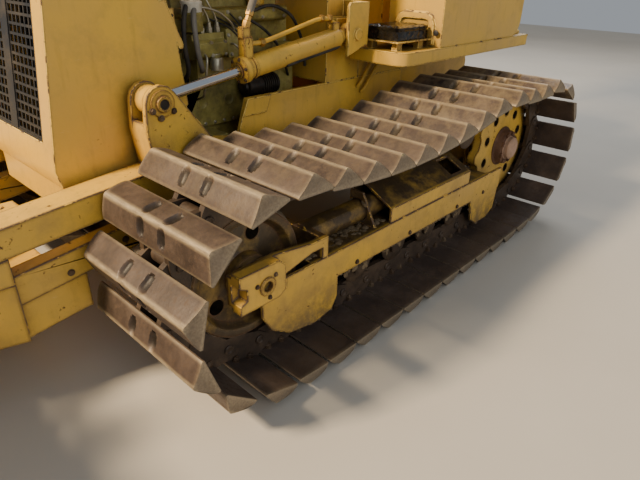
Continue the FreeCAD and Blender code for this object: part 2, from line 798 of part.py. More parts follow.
def grille():
    """Mesh grille behind the guard's front opening, with a flat upright in the middle."""
    low, high = guard_bottom + 140, hood_top_z - 70
    half = guard_half - guard_wall - 70

    def slab(y0, y1, back, front, z0=low, z1=high):
        points = [(front_at(z0) - front, z0), (front_at(z1) - front, z1),
                  (front_at(z1) - back, z1), (front_at(z0) - back, z0)]
        return side_prism(points, y0, y1)

    mesh = slab(-half, half, 14, 4)
    wide = 2 * half / grille_columns
    tall = (high - low) / grille_rows
    cells = []
    for i in range(grille_columns):
        for j in range(grille_rows):
            y, z = -half + wide * i, low + tall * j
            left = y + (30 if i == grille_columns / 2 else 5)
            right = y + wide - (30 if i == grille_columns / 2 - 1 else 5)
            cells.append(slab(left, right, 20, 0, z + 5, z + tall - 5))
    return mesh.cut(Part.makeCompound(cells))


put("grille", grille())


def radiator():
    """Radiator core with its tanks and the fan shroud."""
    core = box(590, 690, -270, 270, 740, 1290)
    tanks = [box(600, 680, -260, 260, 1290, 1350), box(600, 680, -260, 260, 680, 740)]
    foot = box(600, 680, -hull_half + hull_plate, hull_half - hull_plate, rail_top_z - 60, 680)
    return fuse([core, foot] + tanks)


put("radiator", radiator())


def fan():
    """Cooling fan on the engine's front pulley shaft."""
    hub_x = engine_front_x + 60
    blades = [bar_x(0, crank_z, 46, hub_x, hub_x + 60, small_sides)]
    for i in range(6):
        blade = box(hub_x + 20, hub_x + 32, -22, 22, crank_z + 35, crank_z + 200)
        blade.rotate(V(hub_x + 26, 0, crank_z + 120), V(0, 0, 1), 24)
        blade.rotate(V(0, 0, crank_z), V(1, 0, 0), i * 60)
        blades.append(blade)
    return fuse(blades)


put("fan", fan())


def hood():
    """Bonnet with sloping shoulders, from the cowl to the radiator guard."""
    shoulder = hood_top_z - 40
    outer = [(-guard_half, shoulder), (-guard_half + 60, hood_top_z + 10), (0, hood_top_z + hood_crown),
             (guard_half - 60, hood_top_z + 10), (guard_half, shoulder)]
    inner = [(y * (guard_half - 10) / guard_half, z - 10) for y, z in outer]
    sheet = cross_prism(outer + inner[::-1], hood_rear_x, hood_front_x)
    holes = [bar_z(exhaust_x, exhaust_y, exhaust_radius + 8, shoulder, hood_top_z + 100, 12),
             bar_z(intake_x, intake_y, intake_radius + 8, shoulder, hood_top_z + 100, 12)]
    return sheet.cut(Part.makeCompound(holes))


put("hood", hood())


def exhaust():
    """Muffler and cut-off stack above the bonnet, on the right."""
    base = hood_top_z
    steps = [(exhaust_radius, head_top_z, base + 100), (75, base + 90, base + 470),
             (32, base + 470, base + 760)]
    return fuse([bar_z(exhaust_x, exhaust_y, radius, z0, z1) for radius, z0, z1 in steps])


put("exhaust", exhaust())


def air_cleaner():
    """Air inlet with its bowl above the bonnet, on the left."""
    base = hood_top_z
    steps = [(intake_radius, manifold_top_z, base + 240), (85, base + 240, base + 380),
             (60, base + 380, base + 400)]
    return fuse([bar_z(intake_x, intake_y, radius, z0, z1) for radius, z0, z1 in steps])


put("air_cleaner", air_cleaner())


def cowl():
    """Bulkhead and instrument cowl, with the lift cylinders' rear brackets on its sides."""
    outline = [(hood_rear_x, hull_top_z), (hood_rear_x, hood_top_z - 60), (hood_rear_x - 30, cowl_top_z),
               (cowl_rear_x + 60, cowl_top_z), (cowl_rear_x, cowl_top_z - 220), (cowl_rear_x, hull_top_z)]
    body = side_prism(outline, -hull_half, hull_half)
    hollow = [(hood_rear_x - 12, hull_top_z - 1), (hood_rear_x - 12, hood_top_z - 80),
              (hood_rear_x - 42, cowl_top_z - 12), (cowl_rear_x + 66, cowl_top_z - 12),
              (cowl_rear_x + 12, cowl_top_z - 220), (cowl_rear_x + 12, hull_top_z - 1)]
    body = body.cut(side_prism(hollow, -hull_half + 12, hull_half - 12))
    pieces = [body]
    plate_in = lift_y + 32
    plate_out = plate_in + bracket_plate
    back_x, front_x = lift_rear_x - 60, lift_rear_x + 60
    plate = [(back_x, lift_rear_z - 50), (front_x, lift_rear_z - 90), (front_x, lift_rear_z + 112),
             (front_x - 12, lift_rear_z + 130), (back_x, lift_rear_z + 130)]
    for side in (-1, 1):
        y = sorted((side * hull_half, side * (lift_y - 32)))
        pieces.append(box(back_x, lift_rear_x + 50, y[0], y[1], lift_rear_z - 60, lift_rear_z + 60))
        y = sorted((side * plate_in, side * plate_out))
        pieces.append(side_prism(plate, y[0], y[1]))
        y = sorted((side * hull_half, side * plate_out))
        pieces.append(box(back_x - 16, back_x, y[0], y[1], lift_rear_z - 50, lift_rear_z + 130))
        y = sorted((side * (lift_y - 34), side * (plate_out + 12)))
        pieces.append(bar_y(lift_rear_x, lift_rear_z, pin_radius, y[0], y[1]))
    return fuse(pieces)


put("cowl", cowl())


def floor_outline(inset):
    """Plan of the platform inside its rim, with rounded front corners."""
    reach, front, r = floor_half - inset, floor_front_x - inset, floor_corner - inset
    left = [(floor_rear_x, reach)]
    left += arc_points(front - r, reach - r, r, math.pi / 2, 0, 2)
    left += [(front, hull_half), (cowl_rear_x, hull_half)]
    return left + [(x, -y) for x, y in left[::-1]]


def floor():
    """Platform over the hull and the tracks' inner edges, with a rolled rim and a raised battery tray."""
    top = floor_z + floor_plate
    plate = plan_prism(floor_outline(0), floor_z, top)
    low, open_half = floor_z - floor_rim, hull_half + 30
    rim = plan_prism(floor_outline(0), low, floor_z)
    rim = rim.cut(plan_prism(floor_outline(floor_plate), low - 1, floor_z + 1))
    middle = box(floor_rear_x - 1, floor_front_x + 1, -open_half, open_half, low - 1, floor_z + 1)
    rear = box(floor_rear_x - 1, floor_rear_x + floor_plate, -floor_half, floor_half, low - 1, floor_z + 1)
    rim = rim.cut(middle).cut(rear)
    reach = floor_half - floor_plate - 12
    beams = [box(x, x + 40, -reach, reach, case_top_z, floor_z) for x in (-700, -1200, -1700)]
    walls = [box(hull_rear_x, cowl_rear_x, hull_half - 12, hull_half, hull_top_z, floor_z),
             box(hull_rear_x, cowl_rear_x, -hull_half, -hull_half + 12, hull_top_z, floor_z)]
    tray_z = top + tray_lift
    feet = [box(x, x + 40, y, y + 30, top, tray_z)
            for x in (battery_front_x - 60, battery_rear_x + 20)
            for y in (battery_inner + 20, battery_outer - 50)]
    tray = box(battery_rear_x - 6, battery_front_x + 10, battery_inner - 6, battery_outer + 6,
               tray_z, tray_z + tray_plate)
    return fuse([plate, rim] + beams + walls + feet + [tray])


put("floor", floor())


def battery():
    """Flat case on the raised tray, its top sloping down to the front."""
    base = floor_z + floor_plate + tray_lift + tray_plate
    outline = [(battery_rear_x, base), (battery_front_x, base), (battery_front_x, base + 50),
               (battery_front_x - 60, base + 64), (battery_rear_x, base + 74)]
    return side_prism(outline, battery_inner, battery_outer)


def side_box():
    """Closed side box beside the seat, with a rounded lower rear corner and a grab handle in front."""
    base = floor_z + floor_plate
    r = 70
    outline = [(side_box_front_x, base), (side_box_front_x, side_box_top_z),
               (side_box_rear_x, side_box_top_z), (side_box_rear_x, base + r),
               (side_box_rear_x + r * 0.3, base + r * 0.3), (side_box_rear_x + r, base)]
    body = side_prism(outline, side_box_inner, floor_half - 5)
    left, right = side_box_inner + 50, floor_half - 45
    low, high, bend, strap = base + 12, base + 150, 50, 30

    def arch(inset):
        """Outline of an inverted U, inside the outer one by an inset."""
        r = bend - inset
        points = [(left + inset, low)] + arc_points(left + bend, high - bend, r, math.pi, math.pi / 2, 2)
        return points + arc_points(right - bend, high - bend, r, math.pi / 2, 0, 2) + [(right - inset, low)]

    handle = cross_prism(arch(0) + arch(strap)[::-1], side_box_front_x - 1, side_box_front_x + 14)
    return body.fuse(handle)


put_pair("side_box", side_box())


def fuel_tank():
    """Rear tank behind the seat."""
    base = floor_z + floor_plate
    outline = [(tank_front_x, base), (tank_front_x, tank_top_z), (tank_rear_x + 60, tank_top_z),
               (tank_rear_x, tank_top_z - 80), (tank_rear_x, base + 40), (tank_rear_x + 40, base)]
    return side_prism(outline, -tank_half, tank_half)


put("fuel_tank", fuel_tank())


def seat():
    """Seat box, cushion and backrest."""
    base = floor_z + floor_plate
    return box(-1330, -930, -210, 210, base, base + 260)


put("seat_box", seat())
put("seat_cushion", box(-1330, -890, -240, 240, floor_z + floor_plate + 260, floor_z + floor_plate + 380))
back_z = floor_z + floor_plate + 380.3
back = [(-1330, back_z), (-1420, floor_z + 850), (-1510, floor_z + 850), (-1430, back_z)]
put("seat_back", side_prism(back, -230, 230))


def levers():
    """Hand levers on the cowl."""
    pieces = []
    for y in (-90, -30, 60):
        foot = V(cowl_rear_x - 15, y, 1250)
        head = V(cowl_rear_x - 120, y, 1540)
        along = (head - foot).normalize()
        pieces.append(fuse([box(cowl_rear_x - 32, cowl_rear_x, y - 20, y + 20, 1230, 1275),
                            bar(foot, head, 9, 6), bar(head - along * 10, head + along * 50, 18, 6)]))
    return Part.makeCompound(pieces)


put("levers", levers())


def rops_post():
    """Square post of the roll-over frame on its foot plate, standing on the platform's rear edge."""
    half = post_size / 2
    base = floor_z + floor_plate
    foot = box(post_x - 60, post_x + half + 20, post_y - half - 20, post_y + half + 20, base, base + 20)
    post = box(post_x - half, post_x + half, post_y - half, post_y + half, base, roof_z)
    return fuse([foot, post])


put_pair("rops_post", rops_post())


def canopy():
    """Roof pan with bevelled edges, open below, with cross beams and lamps."""
    slope, top = 40, roof_z + roof_thick
    side = [(roof_half - slope, top), (roof_half, top - slope), (roof_half, roof_z)]
    outline = [(-y, z) for y, z in side[::-1]] + side
    pan = cross_prism(outline, roof_rear_x, roof_front_x)
    wall = 14
    inner = roof_half - wall - 26
    pan = pan.cut(box(roof_rear_x + wall, roof_front_x - wall, -inner, inner, roof_z - 1, top - wall))
    beams = [box(x - 50, x + 50, -inner, inner, roof_z, top - wall) for x in (post_x, -1000)]
    lamps = []
    for x, back, ahead in ((roof_front_x - 60, 30, 50), (roof_rear_x + 60, 50, 30)):
        for y in (-420, 420):
            lamps.append(box(x - 8, x + 8, y - 8, y + 8, roof_z - 30, roof_z + roof_thick - wall))
            lamps.append(bar_x(y, roof_z - 60, 62, x - back, x + ahead))
    return fuse([pan] + beams + lamps)


put("canopy", canopy())
put("battery", battery())


# C-frame, in the pose with the blade just above the ground

def slope(x, x0, z0, x1, z1):
    """Height at x of the line through two points."""
    return z0 + (z1 - z0) * (x - x0) / (x1 - x0)


def rail_top(x):
    return slope(x, 610, 697, 1130, 646)


def low_rail_top(x):
    return slope(x, 760, 518, 1140, 471)


def arm():
    """Side arm: rear eye, deep web, upper rail and the twin-plate lug of the lift cylinder."""
    front = 1240
    web = [(pivot_x, pivot_z - 62), (560, 448), (690, 440), (740, rail_top(740) - rail_height),
           (front, rail_top(front) - rail_height),
           (front, rail_top(front)), (300, rail_top(300)), (pivot_x, pivot_z + 62)]
    beam = side_prism(web, arm_inner, arm_outer)
    eye = bar_y(pivot_x, pivot_z, bore_radius(62), arm_inner, arm_outer)
    head = arc_points(lift_front_x, lift_front_z, 60, math.radians(148), math.radians(4), 5)
    tower = [(340, rail_top(340) - 20)] + head + [(642, lift_front_z - 90), (622, rail_top(622) - 20)]
    plates = [side_prism(tower, arm_outer - arm_plate, arm_outer),
              side_prism(tower, arm_inner, arm_inner + arm_plate)]
    face = [(622, rail_top(622) - 20), (642, lift_front_z - 90), (636, lift_front_z - 62),
            (620, lift_front_z - 62), (606, rail_top(606) - 20)]
    plates.append(side_prism(face, arm_inner + arm_plate, arm_outer - arm_plate))
    heads = [bar_y(lift_front_x, lift_front_z, pin_radius, arm_inner - 6, arm_inner),
             bar_y(lift_front_x, lift_front_z, pin_radius + 8, arm_outer, arm_outer + 5)]
    bore = bar_y(pivot_x, pivot_z, bore_radius(pin_radius, pin_gap), arm_inner - 1, arm_outer + 1)
    return fuse([beam, eye] + plates + heads).cut(bore)


def low_rail():
    """Lower box rail and its deep side plate, between the arm and the nose."""
    cap = [(680, low_rail_top(680)), (1130, low_rail_top(1130)), (1130, low_rail_top(1130) - 105),
           (780, low_rail_top(780) - 100), (680, 440)]
    deep = [(905, low_rail_top(905) - 100), (1130, low_rail_top(1130) - 100), (1130, 235), (905, 262)]
    return fuse([side_prism(cap, low_rail_inner, low_rail_outer),
                 side_prism(deep, low_rail_inner, low_rail_outer - 12)]).cut(arm())


put_pair("frame_arm", arm())
put_pair("low_rail", low_rail())


def nose():
    """Cross box, corner blocks and the tongue that holds the swing pin."""
    left = [(1500, 110), (1330, arm_outer - 60), (1130, arm_outer), (1130, low_rail_inner),
            (nose_rear_x, low_rail_inner)]
    plan = left + [(x, -y) for x, y in left[::-1]]
    body = plan_prism(plan, nose_bottom_z, nose_top_z)
    tongue = fuse([box(1490, swing_x, -70, 70, tongue_bottom_z, tongue_top_z),
                   bar_z(swing_x, 0, 70, tongue_bottom_z, tongue_top_z)])
    block = [(1130, nose_top_z), (1200, nose_top_z), (1200, rail_top(1200) - rail_height),
             (1130, rail_top(1130) - rail_height)]
    corners = [side_prism(block, -arm_outer, -arm_inner), side_prism(block, arm_inner, arm_outer)]
    pieces = [body, tongue] + corners
    for side in (-1, 1):
        y = side * angle_rear_y
        ear = box(angle_rear_x - 45, angle_rear_x + 30, y - 40, y + 40, nose_top_z, angle_z - 24)
        top = box(angle_rear_x - 45, angle_rear_x + 30, y - 40, y + 40, angle_z + 24, angle_z + 40)
        back = box(angle_rear_x - 60, angle_rear_x - 45, y - 40, y + 40, nose_top_z, angle_z + 40)
        pin = bar_z(angle_rear_x, y, angle_pin_radius, nose_top_z, angle_z + 44)
        pieces += [ear, top, back, pin]
    swing_pin = bar_z(swing_x, 0, swing_pin_radius, tongue_bottom_z - 60, tongue_top_z + 60, pin_sides)
    return fuse(pieces + [swing_pin])


put("nose", nose())


def blade_yoke():
    """Swinging beam behind the blade: fork on the swing pin, ears and the tilt cylinder's mast."""
    low = tongue_bottom_z - fork_gap
    high = tongue_top_z + fork_gap
    rear, front = yoke_rear_x, yoke_front_x
    beam = box(rear, front, -420, 420, low - 20, high + 20)
    left = [(rear + 4, 110), (swing_x - 30, 78), (swing_x - 62, 60)]
    plan = left + [(x, -y) for x, y in left[::-1]]
    pieces = [beam, plan_prism(plan, low - fork_plate, low), plan_prism(plan, high, high + fork_plate)]
    pieces += [box(rear, front, -110, 110, low - fork_plate, high + fork_plate)]
    for side in (-1, 1):
        y = side * angle_front_y
        span = sorted((side * 400, side * 500))
        pieces.append(box(angle_front_x - 32, front, span[0], span[1], high, angle_z - 26))
        pieces.append(box(angle_front_x - 32, front, span[0], span[1], angle_z + 26, angle_z + 40))
        pieces.append(box(angle_front_x + 52, front, span[0], span[1], low - 20, angle_z + 40))
        pieces.append(bar_z(angle_front_x, y, 20, angle_z + 40, angle_z + 48, small_sides))
    mast_rear = tilt_cyl_yoke_y - 60
    mast = box(rear, front, mast_rear, tilt_cyl_yoke_y + 30, high + 20, tilt_cyl_z - 50)
    ears = [(front - 20, front, tilt_cyl_z - 50, tilt_cyl_z + 30),
            (rear - 30, rear - 10, tilt_cyl_z - 50, tilt_cyl_z + 30),
            (rear - 30, front, tilt_cyl_z - 70, tilt_cyl_z - 50)]
    ears = [box(x0, x1, tilt_cyl_yoke_y - 40, tilt_cyl_yoke_y + 30, z0, z1) for x0, x1, z0, z1 in ears]
    ears.append(bar_x(tilt_cyl_yoke_y, tilt_cyl_z, tilt_ear_pin_radius, rear - 36, front))
    body = fuse(pieces + [mast] + ears)
    bore = bore_radius(swing_pin_radius, pin_gap, pin_sides)
    body = body.cut(bar_z(swing_x, 0, bore, 200, 700, pin_sides))
    return body.fuse(bar_x(0, tilt_z, tilt_pin_radius, front - 12, front + 88, pin_sides))


put("blade_yoke", blade_yoke())


def moldboard():
    """Curved blade skin with end plates, back channels and ribs."""
    crest_z = blade_top_z - skin_top_drop

    def skin_x(z):
        """X of the board's hollow face at a height."""
        middle = (edge_top_z + blade_top_z) / 2
        share = (z - middle) / (blade_top_z - middle)
        return edge_rear_x - blade_curve * (1 - share * share)

    def inside_skin(z):
        return skin_x(z) - blade_skin / 2, z

    heights = [edge_top_z + (crest_z - edge_top_z) * i / skin_steps for i in range(skin_steps + 1)]
    face = [(skin_x(z), z) for z in heights]
    back = [(x - blade_skin, z) for x, z in face[::-1]]
    pieces = [side_prism(face + back, -blade_half + 1, blade_half - 1)]
    rib_x = blade_back_x + 24
    low_z, low_top_z, high_z = edge_top_z + 20, edge_top_z + 190, blade_top_z - 120
    low_channel = [(blade_back_x, low_z), inside_skin(low_z), inside_skin(low_top_z),
                   (blade_back_x, low_top_z)]
    high_channel = [(rib_x + 10, high_z), inside_skin(high_z), inside_skin(crest_z - 10),
                    (rib_x + 10, crest_z - 40)]
    for channel in (low_channel, high_channel):
        pieces.append(side_prism(channel, -blade_half + end_plate - 1, blade_half - end_plate + 1))
    inner = [inside_skin(z) for z in heights if low_top_z - 10 < z < high_z + 10]
    rib = [(rib_x, low_top_z - 10), inside_skin(low_top_z - 10)] + inner
    rib += [inside_skin(high_z + 10), (rib_x + 20, high_z + 10)]
    for y in (-860, -500, -220, 204, 484, 844):
        pieces.append(side_prism(rib, y, y + rib_thick))
    boss_x = edge_rear_x - blade_curve - 6
    pieces.append(box(blade_back_x, boss_x, -110, 110, low_top_z - 10, tilt_z + 110))
    tip_x = blade_front_x - 10
    end = [(edge_rear_x - 25, 60), (tip_x, 60), (tip_x - 30, 250), (tip_x - 35, 600),
           (tip_x - 15, blade_top_z), (tip_x - 90, blade_top_z), (rib_x + 30, 700),
           (blade_back_x + 20, 320), (blade_back_x + 20, low_z)]
    pieces.append(side_prism(end, blade_half - end_plate, blade_half))
    pieces.append(side_prism(end, -blade_half, -blade_half + end_plate))
    y0, y1 = tilt_cyl_blade_y - 34, tilt_cyl_blade_y + 34
    z0, z1 = tilt_cyl_z - 34, tilt_cyl_z + 66
    seat = [(blade_back_x, tilt_cyl_z - 60), inside_skin(tilt_cyl_z - 60), inside_skin(tilt_cyl_z + 40),
            (blade_back_x, tilt_cyl_z + 40)]
    pieces.append(side_prism(seat, y0 - 6, y1 + 6))
    for x in (tilt_cyl_x - 32, tilt_cyl_x + 22):
        pieces.append(box(x, x + 10, y0, y1, z0, z1))
    pieces.append(box(tilt_cyl_x - 32, blade_back_x + 4, y0, y1, z1 - 14, z1))
    pieces.append(box(blade_back_x, rib_x + 20, y0, y1, tilt_cyl_z + 40, z1))
    board = fuse(pieces)
    bore = bore_radius(tilt_pin_radius, pin_gap, pin_sides)
    return board.cut(bar_x(0, tilt_z, bore, blade_back_x - 6, boss_x - 6, pin_sides))


put("moldboard", moldboard())


def cutting_edge():
    """Bolted edge plate under the blade."""
    edge = [(edge_rear_x - blade_skin, edge_top_z), (edge_rear_x, edge_top_z),
            (blade_front_x, blade_bottom_z + 6), (blade_front_x - blade_skin, blade_bottom_z)]
    return side_prism(edge, -blade_half + end_plate, blade_half - end_plate)


put("cutting_edge", cutting_edge())


def cylinder_pair(rear, front, axis, barrel_radius, rod_radius, barrel_length, retract, eye_half, neck, pin,
                  rod_eye):
    """Barrel and rod of a cylinder between two pins, whose common direction is axis.

    The rod can still go in by retract, and the tube starts at neck from the rear pin.
    """
    direction = (front - rear).normalize()

    def eye(center, radius):
        return bar(center - axis * eye_half, center + axis * eye_half, radius)

    tube_start = rear + direction * neck
    tube_end = rear + direction * barrel_length
    gland = bar(tube_end - direction * 34, tube_end, barrel_radius + 8)
    stem = bar(rear + direction * (pin + 2), tube_start + direction, eye_half - 3, small_sides)
    barrel = fuse([bar(tube_start, tube_end, barrel_radius), gland, stem, eye(rear, pin * 1.7)])
    channel = bar(rear + direction * (neck + 10), tube_end + direction,
                  bore_radius(rod_radius, rod_gap, small_sides), small_sides)
    reach = axis * (eye_half + 20)
    bore = bar(rear - reach, rear + reach, bore_radius(pin, pin_gap, small_sides), small_sides)
    rod_start = rear + direction * (neck + 15 + retract)
    rod = fuse([bar(rod_start, front, rod_radius), eye(front, rod_eye)])
    return barrel.cut(channel).cut(bore), rod


for side, name in ((1, "left"), (-1, "right")):
    rear = V(lift_rear_x, side * lift_y, lift_rear_z)
    front = V(lift_front_x, side * lift_y, lift_front_z)
    barrel, rod = cylinder_pair(rear, front, V(0, 1, 0), lift_barrel_radius, lift_rod_radius,
                                lift_barrel_length, lift_retract, 30, 80, pin_radius, lift_rod_eye)
    put(name + "_lift_barrel", barrel)
    put(name + "_lift_rod", rod)
    rear = V(angle_rear_x, side * angle_rear_y, angle_z)
    front = V(angle_front_x, side * angle_front_y, angle_z)
    barrel, rod = cylinder_pair(rear, front, V(0, 0, 1), angle_barrel_radius, angle_rod_radius,
                                angle_barrel_length, angle_retract, 20, 64, angle_pin_radius, 27)
    put(name + "_angle_barrel", barrel)
    put(name + "_angle_rod", rod)

rear = V(tilt_cyl_x, tilt_cyl_yoke_y, tilt_cyl_z)
front = V(tilt_cyl_x, tilt_cyl_blade_y, tilt_cyl_z)
barrel, rod = cylinder_pair(rear, front, V(1, 0, 0), tilt_barrel_radius, tilt_rod_radius,
                            tilt_barrel_length, tilt_retract, 20, 50, tilt_ear_pin_radius, 27)
put("tilt_barrel", barrel)
put("tilt_rod", rod)

os.makedirs("parts", exist_ok=True)
for name, shape in nodes.items():
    shape.exportStep("parts/" + name + ".step")
print(len(nodes), "nodes,", len(pins), "links a side")
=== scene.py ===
import json
import math
import random
import bmesh
import bpy
from mathutils import Matrix, Vector
from mathutils.bvhtree import BVHTree


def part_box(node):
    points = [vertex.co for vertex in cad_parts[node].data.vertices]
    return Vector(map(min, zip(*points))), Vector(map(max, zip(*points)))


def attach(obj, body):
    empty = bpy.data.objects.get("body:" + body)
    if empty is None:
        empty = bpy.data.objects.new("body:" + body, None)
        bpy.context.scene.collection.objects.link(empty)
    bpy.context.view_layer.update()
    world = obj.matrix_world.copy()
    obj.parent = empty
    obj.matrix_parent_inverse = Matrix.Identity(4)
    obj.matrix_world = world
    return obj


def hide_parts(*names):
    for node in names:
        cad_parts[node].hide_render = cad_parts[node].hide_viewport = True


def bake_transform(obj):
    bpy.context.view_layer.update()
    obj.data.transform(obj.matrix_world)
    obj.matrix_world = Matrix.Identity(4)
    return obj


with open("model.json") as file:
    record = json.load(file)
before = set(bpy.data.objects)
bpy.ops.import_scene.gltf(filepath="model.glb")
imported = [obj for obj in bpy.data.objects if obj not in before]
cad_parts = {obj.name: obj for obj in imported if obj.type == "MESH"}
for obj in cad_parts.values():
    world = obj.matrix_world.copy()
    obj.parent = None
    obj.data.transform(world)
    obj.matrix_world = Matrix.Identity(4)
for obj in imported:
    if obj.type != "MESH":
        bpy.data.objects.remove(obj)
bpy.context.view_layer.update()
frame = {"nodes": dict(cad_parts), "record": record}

# Sizes below are millimetres; this factor turns them to metres
MM = 0.001

nodes = frame["nodes"]
body_of = {node: body for body, held in frame["record"]["behaviour"]["bodies"].items() for node in held}
sides = (("left", 1), ("right", -1))
AXES = {"x": Vector((1, 0, 0)), "y": Vector((0, 1, 0)), "z": Vector((0, 0, 1))}


# Materials

def hex_color(code):
    """An sRGB hex colour as linear red, green, blue and alpha."""
    channels = [int(code[i:i + 2], 16) / 255 for i in (1, 3, 5)]
    linear = [c / 12.92 if c <= 0.04045 else ((c + 0.055) / 1.055) ** 2.4 for c in channels]
    return (*linear, 1.0)


def add(tree, kind, links=None, out=0, stops=(), **settings):
    """Adds a node with its settings, links or values by input, and stops if it has them; gives one output."""
    node = tree.nodes.new(kind)
    for name, value in settings.items():
        setattr(node, name, value)
    for key, source in (links or {}).items():
        if isinstance(source, bpy.types.NodeSocket):
            tree.links.new(source, node.inputs[key])
        else:
            node.inputs[key].default_value = hex_color(source) if str(source)[0] == "#" else source
    for _ in stops[2:]:
        node.color_ramp.elements.new(0.5)
    for i, (place, value) in enumerate(stops):
        element = node.color_ramp.elements[i]
        element.position = place
        element.color = hex_color(value) if isinstance(value, str) else (value, value, value, 1.0)
    return node.outputs[out] if node.outputs else None


def patches(tree, point, size_mm, stops, detail=4.0, roughness=0.55, stretch=None):
    """Noise with patches of a size in millimetres, drawn out along the axes, turned to greys or colours."""
    if stretch:
        point = add(tree, "ShaderNodeMapping", {"Vector": point, "Scale": stretch})
    noise = add(tree, "ShaderNodeTexNoise", {"Vector": point, "Scale": 1 / (size_mm * MM), "Detail": detail,
                                             "Roughness": roughness})
    if not isinstance(stops[0], tuple):
        stops = tuple(zip((0.0, 1.0), stops))
    return add(tree, "ShaderNodeValToRGB", {"Fac": noise}, stops=stops)


def new_material(name):
    """A node material with its shader and the object's own coordinates."""
    material = bpy.data.materials.new(name)
    material.use_nodes = True
    tree = material.node_tree
    return material, tree, tree.nodes["Principled BSDF"], add(tree, "ShaderNodeTexCoord", out="Object")


def finish_with(tree, shader, coat, covers, rough, relief, strength, depth_mm):
    """Lays each cover in its colour over the coat, and joins colour, roughness and relief to the shader."""
    for cover, tint in covers:
        coat = add(tree, "ShaderNodeMix", {0: cover, 6: coat, 7: tint}, out=2, data_type="RGBA")
    bump = add(tree, "ShaderNodeBump", {"Height": relief, "Strength": strength, "Distance": depth_mm * MM})
    for source, key in ((coat, "Base Color"), (rough, "Roughness"), (bump, "Normal")):
        tree.links.new(source, shader.inputs[key])


